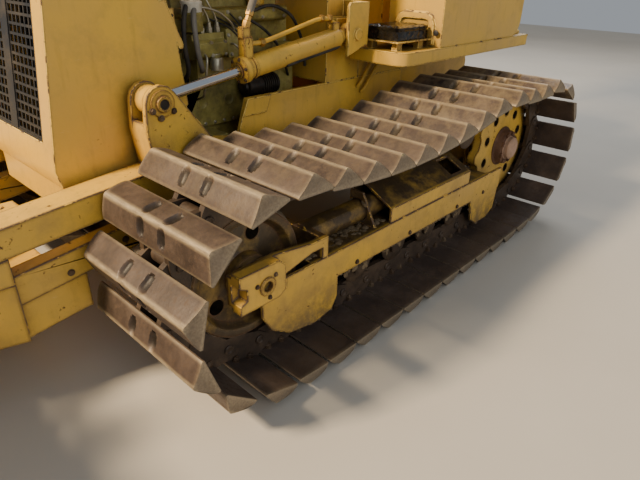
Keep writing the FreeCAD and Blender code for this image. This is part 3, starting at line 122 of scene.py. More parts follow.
def weathered_paint(name, coat, faded, rust_share, dust_share, mud_height=0.0, clean_beyond=0.0, scoured=False):
    """Sprayed enamel on steel: a satin coat, faded in patches, chipped to brown rust, streaked with dust.

    Broad noise fades the coat, stretched noise runs the streaks down, fine noise cuts the chips and scratches.
    Mud cakes it below a height or inside a distance from the middle, and earth scours the faces towards the front.
    """
    material, tree, shader, point = new_material(name)
    place_x, place_y, place_z = add(tree, "ShaderNodeSeparateXYZ", {0: point}).node.outputs
    grime = patches(tree, point, 140, ((0.60 - 0.24 * dust_share, 0.0),
                                       (0.82 - 0.14 * dust_share, 0.25 + 0.45 * dust_share)), 8, 0.68)
    covers = [(patches(tree, point, 380, ((0.36, 0.0), (0.66, 1.0)), 5), faded), (grime, "#84704f"),
              (patches(tree, point, 30, ((0.55, 0.0), (0.72, 0.16)), 4, 0.6, (1.0, 1.0, 0.14)), "#6b4e29"),
              (patches(tree, point, 26, ((0.62, 0.0), (0.68, 0.30)), 8, 0.78, (0.35, 1.0, 1.6)), "#e3c786")]
    if mud_height:
        low = add(tree, "ShaderNodeMapRange", {0: place_z, 1: mud_height, 2: mud_height * 0.35, 3: 0.0, 4: 0.85})
        mud = patches(tree, point, 60, ((0.40, 0.0), (0.56, 1.0)), 8, 0.72)
        mud = add(tree, "ShaderNodeMath", {0: mud, 1: low}, operation="MULTIPLY")
        covers.append((mud, patches(tree, point, 18, ("#4b3c2c", "#7a6850"))))
    if clean_beyond:
        across = add(tree, "ShaderNodeMath", {0: place_y}, operation="ABSOLUTE")
        inside = add(tree, "ShaderNodeMapRange", {0: across, 1: clean_beyond + 0.004, 2: clean_beyond - 0.008,
                                                  3: 0.0, 4: 1.0})
        caked = patches(tree, point, 90, ((0.28, 0.45), (0.52, 1.0)), 8, 0.7)
        caked = add(tree, "ShaderNodeMath", {0: caked, 1: inside}, operation="MULTIPLY")
        covers.append((caked, patches(tree, point, 22, ("#221a12", "#5b4930"), 6)))
    # Painted shade: ambient occlusion darkens corners, creases and hollows towards a grime brown, broken up by noise
    hollow = add(tree, "ShaderNodeAmbientOcclusion", {"Distance": 0.07}, out="AO", samples=3)
    hollow = add(tree, "ShaderNodeMath", {0: hollow, 1: patches(tree, point, 50, (0.0, 0.5), 6)}, operation="ADD")
    covers.append((add(tree, "ShaderNodeValToRGB", {0: hollow}, stops=((0.55, 0.75), (1.0, 0.0))), "#4a3a24"))

    # An edge is where the normal of a rounded edge turns away from the face's own
    soft = add(tree, "ShaderNodeBevel", {"Radius": 0.008 + 0.012 * rust_share}, samples=4)
    level = add(tree, "ShaderNodeNewGeometry", out="Normal")
    edge = add(tree, "ShaderNodeVectorMath", {0: soft, 1: level}, out="Value", operation="DOT_PRODUCT")
    edge = add(tree, "ShaderNodeMapRange", {0: edge, 1: 0.998, 2: 0.92, 3: 0.0, 4: 1.0})
    ragged = patches(tree, point, 85, (0.0, 0.5 + 0.28 * rust_share), 10, 0.72)
    worn = add(tree, "ShaderNodeMath", {0: edge, 1: 0.34, 2: ragged}, operation="MULTIPLY_ADD")
    scraped = add(tree, "ShaderNodeValToRGB", {0: worn}, stops=((0.42, 0.0), (0.50, 0.55)))
    covers.append((add(tree, "ShaderNodeMath", {0: scraped, 1: edge}, operation="MULTIPLY"), "#efd591"))
    flaked = add(tree, "ShaderNodeMath", {0: worn, 1: 0.60 - 0.06 * rust_share}, operation="GREATER_THAN")
    on_edge = add(tree, "ShaderNodeMath", {0: edge, 1: 0.04}, operation="GREATER_THAN")
    flaked = add(tree, "ShaderNodeMath", {0: flaked, 1: on_edge}, operation="MULTIPLY")
    chips = patches(tree, point, 34, ((0.705 - 0.11 * rust_share, 0.0), (0.725 - 0.11 * rust_share, 1.0)), 10, 0.74)
    chips = add(tree, "ShaderNodeMath", {0: chips, 1: flaked}, operation="MAXIMUM")
    covers.append((chips, patches(tree, point, 9, ("#37231a", "#6a452a"), 3)))
    if scoured:
        normal = add(tree, "ShaderNodeSeparateXYZ", {0: add(tree, "ShaderNodeTexCoord", out="Normal")}, out="X")
        front = add(tree, "ShaderNodeMath", {0: normal, 1: 0.25}, operation="GREATER_THAN")
        low = add(tree, "ShaderNodeMapRange", {0: place_z, 1: 0.80, 2: 0.16, 3: 0.0, 4: 0.55})
        scour = patches(tree, point, 120, (0.0, 1.0), 10, 0.72, (1.0, 0.5, 1.0))
        scour = add(tree, "ShaderNodeMath", {0: scour, 1: low}, operation="ADD")
        scour = add(tree, "ShaderNodeValToRGB", {0: scour}, stops=((0.70, 0.0), (0.80, 1.0)))
        scour = add(tree, "ShaderNodeMath", {0: scour, 1: front}, operation="MULTIPLY")
        covers.append((scour, patches(tree, point, 10, ((0.3, "#5a4d42"), (0.5, "#8b8078"), (0.7, "#aca49b")), 6, 0.7,
                                      (1.0, 1.0, 0.05))))
        metal = add(tree, "ShaderNodeMath", {0: scour, 1: 0.7}, operation="MULTIPLY")
        tree.links.new(metal, shader.inputs["Metallic"])
    dull = add(tree, "ShaderNodeValToRGB", {0: grime}, stops=((0.0, 0.40), (0.5, 0.66)))
    rough = add(tree, "ShaderNodeMix", {0: chips, 2: dull, 3: 0.85})
    relief = add(tree, "ShaderNodeMath", {0: chips, 1: -0.8, 2: patches(tree, point, 16, (0.0, 1.0), 5)},
                 operation="MULTIPLY_ADD")
    finish_with(tree, shader, coat, covers, rough, relief, 0.18, 4)
    return material


def worn_edge(name, coat, bare_share):
    """Paint rubbed off an edge: pale scraped enamel between stretches of dark bare steel."""
    material, tree, shader, point = new_material(name)
    bare = patches(tree, point, 48, ((0.60 - 0.2 * bare_share, 0.0), (0.64 - 0.2 * bare_share, 1.0)), 9, 0.7)
    rough = add(tree, "ShaderNodeValToRGB", {0: bare}, stops=((0.0, 0.42), (1.0, 0.6)))
    finish_with(tree, shader, coat, [(bare, patches(tree, point, 14, ("#33231b", "#7d6650")))], rough, bare, 0.2, 1)
    return material


def worn_steel(name, dark, mid, bright, metallic=0.5, rough=0.5, grain_mm=22, wear=False):
    """Rolled or cast steel, brown with fine rust, rubbed bright where the piece's attribute says it wears, and darkened
    as painted shade in dents where the attribute falls below 0.
    """
    material, tree, shader, point = new_material(name)
    coat = patches(tree, point, 130, ((0.32, dark), (0.52, mid), (0.72, bright)), 8, 0.66)
    specks = patches(tree, point, grain_mm, ((0.50, 0.0), (0.66, 0.5)), 8, 0.72)
    covers = [(specks, "#5c4938")]
    if wear:
        # The attribute is 1 where the shoe rubs on the ground and below 0 in its dents, where it paints shade that
        # deepens with the dent; dust lies on the top run
        given = add(tree, "ShaderNodeAttribute", out="Fac", attribute_name="wear")
        rubbed = add(tree, "ShaderNodeMath", {0: given, 1: 0.0}, operation="MAXIMUM")
        scratch = patches(tree, point, 8, ((0.30, 0.35), (0.62, 1.0)), 6, 0.7, (1.0, 0.12, 1.0))
        rubbed = add(tree, "ShaderNodeMath", {0: rubbed, 1: scratch}, operation="MULTIPLY")
        # Painted shade: the dents darken to near black with their depth
        dent_shade_mask = add(tree, "ShaderNodeMath", {0: given, 1: -1.0}, operation="MULTIPLY", use_clamp=True)
        place_x, place_y, place_z = add(tree, "ShaderNodeSeparateXYZ", {0: point}).node.outputs
        top = add(tree, "ShaderNodeMapRange", {0: place_z, 1: 0.66, 2: 0.74, 3: 0.0, 4: 1.0})
        back = add(tree, "ShaderNodeMapRange", {0: place_x, 1: -0.1, 2: -1.2, 3: 0.25, 4: 1.0})
        lying = add(tree, "ShaderNodeMath", {0: top, 1: back}, operation="MULTIPLY")
        dusty = patches(tree, point, 70, ((0.42, 0.0), (0.62, 0.75)), 9, 0.72)
        dusty = add(tree, "ShaderNodeMath", {0: dusty, 1: lying}, operation="MULTIPLY")
        covers += [(rubbed, "#a8987c"), (dent_shade_mask, "#1f1915"), (dusty, "#8d7b5c")]
    shader.inputs["Metallic"].default_value = metallic
    roughness = add(tree, "ShaderNodeValToRGB", {0: specks}, stops=((0.0, rough), (0.5, rough + 0.25)))
    finish_with(tree, shader, coat, covers, roughness, patches(tree, point, grain_mm * 0.6, (0.0, 1.0), 7, 0.65),
                0.28, 4)
    return material


def plain_coat(name, base, dust, rough, metallic=0.0, dust_share=0.4, grain_mm=6, relief=0.08):
    """A smooth moulded, plated or painted surface under a thin veil of dust."""
    material, tree, shader, point = new_material(name)
    veil = patches(tree, point, 80, ((0.42, 0.0), (0.72, dust_share)), 7, 0.66)
    shader.inputs["Metallic"].default_value = metallic
    rough = add(tree, "ShaderNodeValToRGB", {0: veil}, stops=((0.0, rough), (0.6, min(1.0, rough + 0.35))))
    finish_with(tree, shader, base, [(veil, dust)], rough, patches(tree, point, grain_mm, (0.0, 1.0)), relief, 1)
    return material


# Enamel sprayed on plate gives an even satin yellow, faded in broad patches, with small rusty chips
yellow = weathered_paint("yellow enamel on plate", "#e0b440", "#cfa752", 0.30, 0.34)
# Low on the machine the same enamel is duller, with dried brown splashes and more chips
muddy_yellow = weathered_paint("yellow enamel splashed with mud", "#dbae40", "#c29c4c", 0.60, 0.60, 0.55)
# On the track frames it shows clean only on the outer face, and brown caked soil behind
track_yellow = weathered_paint("yellow enamel caked with mud", "#dbae40", "#c29c4c", 0.60, 0.60, 0.30, 0.888)
# Earth grinds it off the blade's face, which shows grey scratched steel below a ragged yellow line
blade_yellow = weathered_paint("yellow enamel scoured off the blade", "#ddb140", "#c8a250", 0.7, 0.5, 0.25,
                               scoured=True)
# On forgings and cylinders it is scuffed, with dark chips along every corner
frame_yellow = weathered_paint("yellow enamel scuffed on forgings", "#ddb140", "#c8a250", 0.85, 0.50)
# Brushed over steel pipe, it is a smooth semi-gloss yellow under grey dust
pipe_yellow = plain_coat("yellow enamel on pipe", "#d6aa3c", "#7d6640", 0.42, 0.0, 0.5, 5)
# Rubbed thin on a rounded edge, it is pale yellow with a few dark bare spots
yellow_edge = worn_edge("yellow enamel worn at edges", "#e8c460", 0.35)
# Knocked off an edge, it leaves brown bare steel with rests of yellow
bare_edge = worn_edge("yellow enamel chipped at edges", "#dfb550", 0.85)
# Rolled shoes are matt brown, rubbed pale along ridges and ends, dusty where they lie on top, and darkened by painted
# shade in their dents
shoe_steel = worn_steel("rolled shoe steel", "#392f2a", "#4d413a", "#62544b", 0.12, 0.5, 26, wear=True)
# Forged links in oil and dirt are nearly black, with little shine
link_steel = worn_steel("oily forged links", "#2c231c", "#43362b", "#5a4938", 0.08, 0.55)
# Cast rollers are rough brown iron, darker where grease has spread
roller_steel = worn_steel("greasy cast rollers", "#2e251d", "#4c3e30", "#6a5844", 0.3, 0.6)
# The chain rubs the idler's treads bright and smooth
rubbed_steel = worn_steel("rail tread rubbed bright", "#6d655e", "#8b837b", "#aaa29a", 0.8, 0.32)
# Earth keeps the hard cutting edge grey and bright
edge_steel = worn_steel("ground cutting edge", "#55504c", "#75706b", "#948f89", 0.8, 0.38)
# Forged bolt heads are brown with rust and paler where a spanner has been
bolt_steel = worn_steel("rusty bolt heads", "#3a2c22", "#5c4938", "#8a7a62", 0.4, 0.5, 8)
# Polished hard chrome mirrors its surroundings in cold grey, under a film of dust
plated = plain_coat("hard chrome rod", "#cfd3d8", "#8c8478", 0.12, 1.0, 0.10)
# Zinc plate is dull silver with a soft sheen
bright_zinc = plain_coat("zinc plated fittings", "#b9b49f", "#6d6450", 0.35, 0.8, 0.4, 4)
# Brass is dull gold, browned by oil
brass = plain_coat("brass fittings", "#b08a48", "#6d5c3a", 0.38, 0.8, 0.4, 4)
# Black enamel is satin, and greyed where dust lies
black_paint = plain_coat("black enamel", "#1b1c1f", "#5a5246", 0.45)
# Embossed vinyl is soft black with a fine leather grain and a low sheen
black_vinyl = plain_coat("black vinyl", "#141414", "#4a443a", 0.55, 0.0, 0.3, 2)
# Extruded rubber is matt black under grey dust
black_rubber = plain_coat("rubber hose", "#1a1a1b", "#6a6152", 0.65, 0.0, 0.5, 3)
# A woven cover makes a hose matt grey and finely uneven
grey_hose = plain_coat("braided grey hose", "#77736b", "#574f42", 0.6, 0.0, 0.5, 2, 0.3)
# Baked white enamel is smooth and off-white, browned by dirt
dial_face = plain_coat("white enamel", "#cfccbe", "#7a7058", 0.35, 0.0, 0.7)
# Pressed glass over a reflector is pale and very smooth
lamp_glass = plain_coat("lamp glass", "#c9cdd0", "#8a8474", 0.08, 0.3, 0.4)
# Heat and soot turn exhaust steel matt, from burnt brown to black
sooted = worn_steel("sooted exhaust steel", "#1d1512", "#3a261b", "#543723", 0.3, 0.7)
# Painted cast iron is uneven olive green, with oil's low gloss
casting = worn_steel("oily olive engine casting", "#544d2a", "#948948", "#bcae66", 0.05, 0.45, 30)
# Iron soaked in oil is nearly black and a little glossy; the same near-black is also painted shade inside holes and
# bores
black_iron_and_hole_shade = worn_steel("oil-soaked black iron", "#14120f", "#25211b", "#3b342b", 0.2, 0.45, 30)
# A cast hub without paint is matt red-brown rust
rusty_steel = worn_steel("rust-brown cast hub", "#3d281d", "#5d3f2d", "#7a583f", 0.1, 0.7, 18)
# Primer on the hub's cap is matt, pale and dirty
pale_cap = plain_coat("pale primed cap", "#b4937c", "#7d6548", 0.6, 0.0, 0.6, 8, 0.2)
# Dried mud is matt pale brown and grainy
dry_mud = plain_coat("dry packed mud", "#66563f", "#8a7a60", 0.95, 0.0, 0.7, 9, 0.5)
# Thin plastic sheet is glossy black, creased, with dust in its folds
sheeting = plain_coat("black plastic sheet", "#0e0e11", "#6a6152", 0.16, 0.0, 0.2, 26, 0.8)

# Finish, finish of the rounded edges, and the radius of those edges on each kind of node
finish_of = {}
for finish, edge_finish, radii in (
        (track_yellow, bare_edge, {"track_frame": 2.5, "idler_yoke": 3}),
        (muddy_yellow, yellow_edge, {"final_drive": 4, "rear_case": 8}), (muddy_yellow, bare_edge, {"drawbar": 3}),
        (yellow, yellow_edge, {"side_box": 4, "rops_post": 6, "hull": 3, "radiator_guard": 2.5, "hood": 2.5,
                               "cowl": 3, "floor": 2, "fuel_tank": 8, "seat_box": 5, "canopy": 3}),
        (frame_yellow, bare_edge, {"frame_arm": 3, "low_rail": 4, "nose": 3, "blade_yoke": 3}),
        (blade_yellow, yellow_edge, {"moldboard": 2.5}), (edge_steel, edge_steel, {"cutting_edge": 2}),
        (casting, casting, {"engine": 3}), (black_paint, black_paint, {"radiator": 0, "fan": 0, "levers": 0})):
    finish_of.update({kind: (finish, edge_finish, radius) for kind, radius in radii.items()})


# Meshes

def mm(x, y, z):
    return Vector((x, y, z))


def ring(center, across, up, radius, steps):
    turns = [2 * math.pi * i / steps for i in range(steps)]
    return [center + (across * math.cos(t) + up * math.sin(t)) * radius for t in turns]


def skin(shape, rings, closed=False):
    """Faces between rings of points; the ends are capped unless the rings close on themselves."""
    join_rows(shape, [[shape.verts.new(p) for p in points] for points in rings], closed)


def join_rows(shape, rows, closed=False):
    for low, high in zip(rows, rows[1:] + rows[:1] if closed else rows[1:]):
        for i in range(len(low)):
            j = (i + 1) % len(low)
            shape.faces.new((low[i], low[j], high[j], high[i]))
    if not closed:
        shape.faces.new(rows[0][::-1])
        shape.faces.new(rows[-1])


def lathe(shape, start, axis, profile, steps=36, closed=False):
    """Turns a profile of (distance along the axis, radius) about an axis through a point."""
    axis = axis.normalized()
    across = axis.orthogonal().normalized()
    up = axis.cross(across)
    skin(shape, [ring(start + axis * along, across, up, radius, steps) for along, radius in profile], closed)


def prism(shape, outline, axis, low, high):
    """A solid with an outline in the other two coordinates, between two places along an axis."""
    def at(a, b, c):
        return {"x": (c, a, b), "y": (a, c, b), "z": (a, b, c)}[axis]
    skin(shape, [[Vector(at(a, b, low)) for a, b in outline], [Vector(at(a, b, high)) for a, b in outline]])


def block(shape, x0, x1, y0, y1, z0, z1):
    prism(shape, [(x0, y0), (x1, y0), (x1, y1), (x0, y1)], "z", z0, z1)


def pipe(shape, points, radius, bend=40, steps=12):
    """A round tube along a path, its corners eased over a length on each side."""
    points = [Vector(p) for p in points]
    path = [points[0]]
    for before, corner, after in zip(points, points[1:], points[2:]):
        start = corner + (before - corner).normalized() * min(bend, (before - corner).length * 0.48)
        end = corner + (after - corner).normalized() * min(bend, (after - corner).length * 0.48)
        path += [start * (1 - t) ** 2 + corner * (2 * t * (1 - t)) + end * t ** 2
                 for t in (0.0, 0.2, 0.4, 0.6, 0.8, 1.0)]
    path.append(points[-1])
    across = (path[1] - path[0]).orthogonal().normalized()
    rings = []
    for i, here in enumerate(path):
        along = (path[min(i + 1, len(path) - 1)] - path[max(i - 1, 0)]).normalized()
        across = (across - along * across.dot(along)).normalized()
        rings.append(ring(here, across, along.cross(across), radius, steps))
    skin(shape, rings)


def smooth(mesh):
    """Smooth shading but for the sharp edges."""
    mesh.polygons.foreach_set("use_smooth", [True] * len(mesh.polygons))
    mesh.set_sharp_from_angle(angle=math.radians(38))


def object_from(name, mesh):
    piece = bpy.data.objects.new(name, mesh)
    bpy.context.collection.objects.link(piece)
    return piece


def new_piece(name, shape, material):
    """An object from a mesh drawn in millimetres."""
    bmesh.ops.scale(shape, vec=(MM, MM, MM), verts=shape.verts)
    bmesh.ops.recalc_face_normals(shape, faces=shape.faces)
    mesh = bpy.data.meshes.new(name)
    shape.to_mesh(mesh)
    shape.free()
    mesh.materials.append(material)
    smooth(mesh)
    return object_from(name, mesh)


def modified(piece, kind, **settings):
    modifier = piece.modifiers.new(kind, kind)
    for name, value in settings.items():
        setattr(modifier, name, value)
    return modifier


def baked(piece):
    """Applies a piece's modifiers to its mesh."""
    bpy.context.view_layer.update()
    graph = bpy.context.evaluated_depsgraph_get()
    mesh = bpy.data.meshes.new_from_object(piece.evaluated_get(graph), preserve_all_data_layers=True,
                                           depsgraph=graph)
    piece.modifiers.clear()
    piece.data = mesh


def place(piece, material, body="machine", replaced=(), slot=None):
    """Gives a finished piece its body and hides the nodes that it stands for; the slot is not used."""
    piece.name = piece.name.replace(" ", "_")
    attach(piece, body)
    if replaced:
        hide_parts(*replaced)


def drawn(name, draw, material, body="machine", replaced=(), slot=None, eased=0.0):
    """A piece whose mesh is drawn by a function, with its edges eased by a width in millimetres."""
    shape = bmesh.new()
    draw(shape)
    piece = new_piece(name, shape, material)
    if eased:
        modified(piece, "BEVEL", width=eased * MM, segments=2)
        baked(piece)
    place(piece, material, body, replaced, slot)


def softened(node, finish, edge_finish, radius):
    """A copy of a node's mesh with its outer edges rounded and worn, standing for the node."""
    shape = bmesh.new()
    shape.from_mesh(nodes[node].data)
    bmesh.ops.remove_doubles(shape, verts=shape.verts, dist=0.05 * MM)
    bmesh.ops.dissolve_limit(shape, angle_limit=math.radians(0.6), verts=shape.verts, edges=shape.edges)
    mesh = bpy.data.meshes.new(node + " softened")
    shape.to_mesh(mesh)
    shape.free()
    mesh.materials.clear()
    mesh.materials.append(finish)
    mesh.materials.append(edge_finish)
    mesh.polygons.foreach_set("material_index", [0] * len(mesh.polygons))
    mesh.polygons.foreach_set("use_smooth", [True] * len(mesh.polygons))
    piece = object_from(node + " softened", mesh)
    modified(piece, "BEVEL", width=radius * MM, segments=2, limit_method="ANGLE", angle_limit=math.radians(50),
             use_clamp_overlap=False, material=1)
    modified(piece, "WEIGHTED_NORMAL")
    baked(piece)
    place(piece, finish, body_of[node], [node])


# Copies on points

def copies_tree():
    """Copies one piece onto points, each turned by its point's angles and scaled by its point's size."""
    tree = bpy.data.node_groups.new("copies on points", "GeometryNodeTree")
    for name, kind in (("Points", "NodeSocketGeometry"), ("Piece", "NodeSocketObject"),
                       ("Finish", "NodeSocketMaterial")):
        tree.interface.new_socket(name, in_out="INPUT", socket_type=kind)
    tree.interface.new_socket("Copies", in_out="OUTPUT", socket_type="NodeSocketGeometry")
    given = add(tree, "NodeGroupInput").node.outputs
    piece = add(tree, "GeometryNodeObjectInfo", {"Object": given["Piece"]}, out="Geometry")
    turn, size = [add(tree, "GeometryNodeInputNamedAttribute", {"Name": name}, out="Attribute",
                      data_type="FLOAT_VECTOR") for name in ("turn", "size")]
    turned = add(tree, "FunctionNodeEulerToRotation", {0: turn})
    points = add(tree, "GeometryNodeMeshToPoints", {"Mesh": given["Points"]})
    copies = add(tree, "GeometryNodeInstanceOnPoints", {"Points": points, "Instance": piece, "Rotation": turned,
                                                        "Scale": size})
    real = add(tree, "GeometryNodeRealizeInstances", {0: copies})
    done = add(tree, "GeometryNodeSetMaterial", {"Geometry": real, "Material": given["Finish"]})
    add(tree, "NodeGroupOutput", {"Copies": done})
    return tree


copies = copies_tree()


def facing(normal, spin=0.0):
    """Angles that turn a piece drawn along Z to a direction."""
    turn = Vector(normal).to_track_quat("Z", "Y").to_matrix().to_4x4() @ Matrix.Rotation(spin, 4, "Z")
    return tuple(turn.to_euler())


def spread(name, draw, spots, material, body="machine", replaced=(), slot=None):
    """One piece drawn once and copied to spots of (place, angles, size)."""
    shape = bmesh.new()
    draw(shape)
    master = new_piece(name + " master", shape, material)
    mesh = bpy.data.meshes.new(name)
    mesh.from_pydata([tuple(Vector(spot[0]) * MM) for spot in spots], [], [])
    for key, column in (("turn", 1), ("size", 2)):
        values = mesh.attributes.new(key, "FLOAT_VECTOR", "POINT").data
        for value, spot in zip(values, spots):
            value.vector = spot[column]
    piece = object_from(name, mesh)
    modifier = modified(piece, "NODES", node_group=copies)
    sockets = copies.interface.items_tree
    modifier[sockets["Piece"].identifier] = master
    modifier[sockets["Finish"].identifier] = material
    baked(piece)
    bpy.data.objects.remove(master)
    for key in ("turn", "size"):
        if key in piece.data.attributes:
            piece.data.attributes.remove(piece.data.attributes[key])
    place(piece, material, body, replaced, slot)


# Plates, boxes and castings with rounded, worn edges

for node in nodes:
    kind = node.removeprefix("left_").removeprefix("right_")
    if kind in finish_of:
        finish, edge_finish, radius = finish_of[kind]
        if radius:
            softened(node, finish, edge_finish, radius)
        else:
            nodes[node].data.materials.clear()
            nodes[node].data.materials.append(finish)


# Track chains

track_y = 775.0
link_pitch = 154.0
shoe_half_length, shoe_half_width, shoe_height = 294.5, 73.5, 62.0
shoe_end_slope = 20.5
rail_above_pin, rail_below_pin, rail_offset = 55.0, 45.0, 62.0
dent_places = [(-33, -56), (-33, 56), (33, -56), (33, 56)]
dent_half_width, dent_half_length, dent_depth = 25.0, 19.0, 15.0
whole = (1.0, 1.0, 1.0)


def link_frames(node):
    """Middle and slope of each link on its pin line, read from the ends of the shoes' ridges."""
    ridge_end = track_y + shoe_half_length - shoe_end_slope
    ends = {(round(v.co.x / MM, 1), round(v.co.z / MM, 1)) for v in nodes[node].data.vertices
            if abs(abs(v.co.y) / MM - ridge_end) < 0.5}
    ends = [mm(x, 0, z) for x, z in ends]
    ridges = []
    while ends:
        one = ends.pop()
        other = min(ends, key=lambda p: (p - one).length)
        ends.remove(other)
        ridges.append((one + other) / 2)
    middle = sum(ridges, Vector()) / len(ridges)
    ridges.sort(key=lambda p: math.atan2(p.z - middle.z, p.x - middle.x))
    frames = []
    for i, here in enumerate(ridges):
        chord = ridges[(i + 1) % len(ridges)] - ridges[i - 1]
        angle = math.atan2(chord.z, chord.x)
        outward = mm(math.sin(angle), 0, -math.cos(angle))
        frames.append((here - outward * (shoe_height + rail_above_pin), angle))
    return frames


def shoe_form(shape):
    """A shoe: rounded ridge, broad flanks, sloping ends and a pressed dent over each bolt."""
    wear = shape.verts.layers.float.new("wear")
    across = [(-71, 55), (-73.5, 60)]
    across += [(-72 + 62 * i / 11, 64 + 49 * (i / 11) ** 0.86) for i in range(12)]
    across += [(-6, 115.6), (-2, 116.8), (2, 116.8), (6, 115.6)]
    across += [(-x, z) for x, z in across[:14][::-1]]
    fine = [28 + 3.5 * i for i in range(17)]
    places = [0, 14] + fine + [100, 125, 150, 180, 210, 240, 262, 278, 288, shoe_half_length]
    rows = []
    for y_place in [-p for p in places[:0:-1]] + places:
        u = y_place / shoe_half_length
        row = []
        for x, z in across:
            reach = shoe_half_length - shoe_end_slope * ((z - rail_above_pin) / shoe_height) ** 1.5
            reach -= 9.0 * (abs(x) / shoe_half_width) ** 5
            y = u * reach
            sunk = 0.0
            for dx, dy in dent_places:
                far = abs((x - dx) / dent_half_width) ** 2.6 + abs((y - dy) / dent_half_length) ** 2.6
                sunk = max(sunk, dent_depth * max(0.0, 1 - far) ** 0.42)
            wavy = 1.2 * math.sin(y / 41) * math.sin(x / 23)
            vert = shape.verts.new((x, y, z - sunk + (wavy if 58 < z < 112 else 0)))
            ridge = max(0.0, (z - 110) / 6)
            end = max(0.0, (abs(u) - 0.96) / 0.04)
            foot = 1.0 if 58 < z < 65 else 0.0
            # Above 0 the value is rubbed steel; below 0 it is painted shade that darkens with the dent's depth
            vert[wear] = min(1.0, ridge + 0.4 * end + 0.4 * foot) - 1.1 * sunk / dent_depth
            row.append(vert)
        rows.append(row)
    join_rows(shape, rows)


def link_form(shape):
    """Two rail links with round eyes, slanting outwards so that each overlaps the next."""
    half = link_pitch / 2
    for way in (-1, 1):
        eyes = [[(x + 36 * math.cos(math.radians(a + 26 * i)), 36 * math.sin(math.radians(a + 26 * i)))
                 for i in range(6)] for x, a in ((half, -80), (-half, 130))]
        outline = eyes[0] + [(half - 4, rail_above_pin - 0.5), (-half + 4, rail_above_pin - 0.5)]
        outline += eyes[1] + [(-half + 26, -rail_below_pin), (half - 26, -rail_below_pin)]
        start = len(shape.verts)
        prism(shape, outline, "y", way * rail_offset - 11, way * rail_offset + 11)
        shape.verts.ensure_lookup_table()
        for vert in shape.verts[start:]:
            vert.co.y += way * 4.5 * vert.co.x / half


def pin_form(shape):
    """A bushing between the rails and the ends of its pin, hollow at the tips."""
    lathe(shape, mm(0, -47, 0), AXES["y"], [(0, 24), (3, 27), (91, 27), (94, 24)], 24)
    lathe(shape, mm(0, -84, 0), AXES["y"], [(3, 9), (0, 12), (0, 15), (3, 18), (165, 18), (168, 15), (168, 12),
                                            (165, 9)], 20)


def nut_form(shape):
    """A hexagon nut on a round washer."""
    for z, profile, steps in ((0, [(0, 15), (3, 15)], 20), (3, [(0, 12), (10, 12), (12, 10)], 6),
                              (14, [(0, 6), (5, 6), (6, 5)], 12)):
        lathe(shape, mm(0, 0, z), AXES["z"], profile, steps)


def bolt_form(shape):
    """A hexagon bolt head on a washer, one unit from its middle to its corners."""
    lathe(shape, mm(0, 0, -0.5), AXES["z"], [(0, 1.25), (0.65, 1.25), (0.7, 1.2)], 18)
    lathe(shape, mm(0, 0, 0.1), AXES["z"], [(0, 1.0), (0.7, 1.0), (0.85, 0.85)], 6)


for side, sign in sides:
    spots, nuts, pins = [], [], []
    for middle, angle in link_frames(side + "_track"):
        here = mm(middle.x, sign * track_y, middle.z)
        # The chain runs against the clock seen from the right, so outward is the link's -Z after this turn
        turn = (0.0, -angle + math.pi, 0.0)
        spots.append((here, turn, whole))
        along = mm(math.cos(angle), 0, math.sin(angle))
        outward = mm(math.sin(angle), 0, -math.cos(angle))
        pins.append((here + along * (link_pitch / 2), turn, whole))
        for x in (-32, 32):
            for y in (-75, 75):
                foot = here + along * x + outward * rail_above_pin + mm(0, y, 0)
                nuts.append((foot, facing(-outward), whole))
    spread(side + " shoes", shoe_form, spots, shoe_steel, replaced=[side + "_track"])
    spread(side + " links", link_form, spots, link_steel)
    spread(side + " pins", pin_form, pins, link_steel)
    spread(side + " shoe nuts", nut_form, nuts, bolt_steel, slot="worn_steel")


# Wheels

idler_rim, idler_flange, idler_web, idler_hub = 227.0, 245.0, 46.0, 80.0
tread_half = rail_offset + 15
web_radius = idler_rim - 34
teeth, pin_circle, bushing = 12, 298.0, 27.0
roller_count, roller_reach = 6, 88.0


def centre_of(node):
    low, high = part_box(node)
    return (low + high) / 2 / MM


def across_y(sign, near, far):
    """Two places at a distance from the middle, on one side, from low to high."""
    return sorted((sign * near, sign * far))


def cut_round_holes(piece, centre, circle, radius, count, half_depth):
    """Cuts a ring of round holes along Y through a piece; the walls of the holes take the cutter's near-black as
    painted shade.
    """
    shape = bmesh.new()
    for i in range(count):
        a = 2 * math.pi * (i + 0.5) / count
        start = centre + mm(circle * math.cos(a), -half_depth, circle * math.sin(a))
        lathe(shape, start, AXES["y"], [(0, radius), (2 * half_depth, radius)], 24)
    # Painted shade: the cutter's near-black goes onto the walls of the holes
    cutter = new_piece("hole cutter", shape, black_iron_and_hole_shade)
    modified(piece, "BOOLEAN", material_mode="TRANSFER", object=cutter, operation="DIFFERENCE", solver="EXACT")
    baked(piece)
    bpy.data.objects.remove(cutter)
    smooth(piece.data)


def mirrored(half):
    """A profile and its mirror image, from the far end to the near one."""
    return [(-a, r) for a, r in half] + [(a, r) for a, r in half[::-1] if a]


def idler_form(shape, centre):
    """The idler's hub, web, rim and middle flange."""
    lathe(shape, centre, AXES["y"], mirrored([
        (tread_half + 18, 26), (tread_half + 18, 50), (tread_half + 14, idler_hub - 22),
        (tread_half + 12, idler_hub - 20), (tread_half + 10, idler_hub - 3), (tread_half + 6, idler_hub),
        (idler_web + 6, idler_hub + 2), (idler_web, idler_hub + 10), (idler_web, web_radius - 14),
        (idler_web + 10, web_radius - 2), (tread_half - 3, web_radius + 3), (tread_half, web_radius + 7),
        (tread_half, idler_rim - 4), (tread_half - 4, idler_rim), (44, idler_rim), (38, idler_flange - 3),
        (34, idler_flange)]), 72, closed=True)


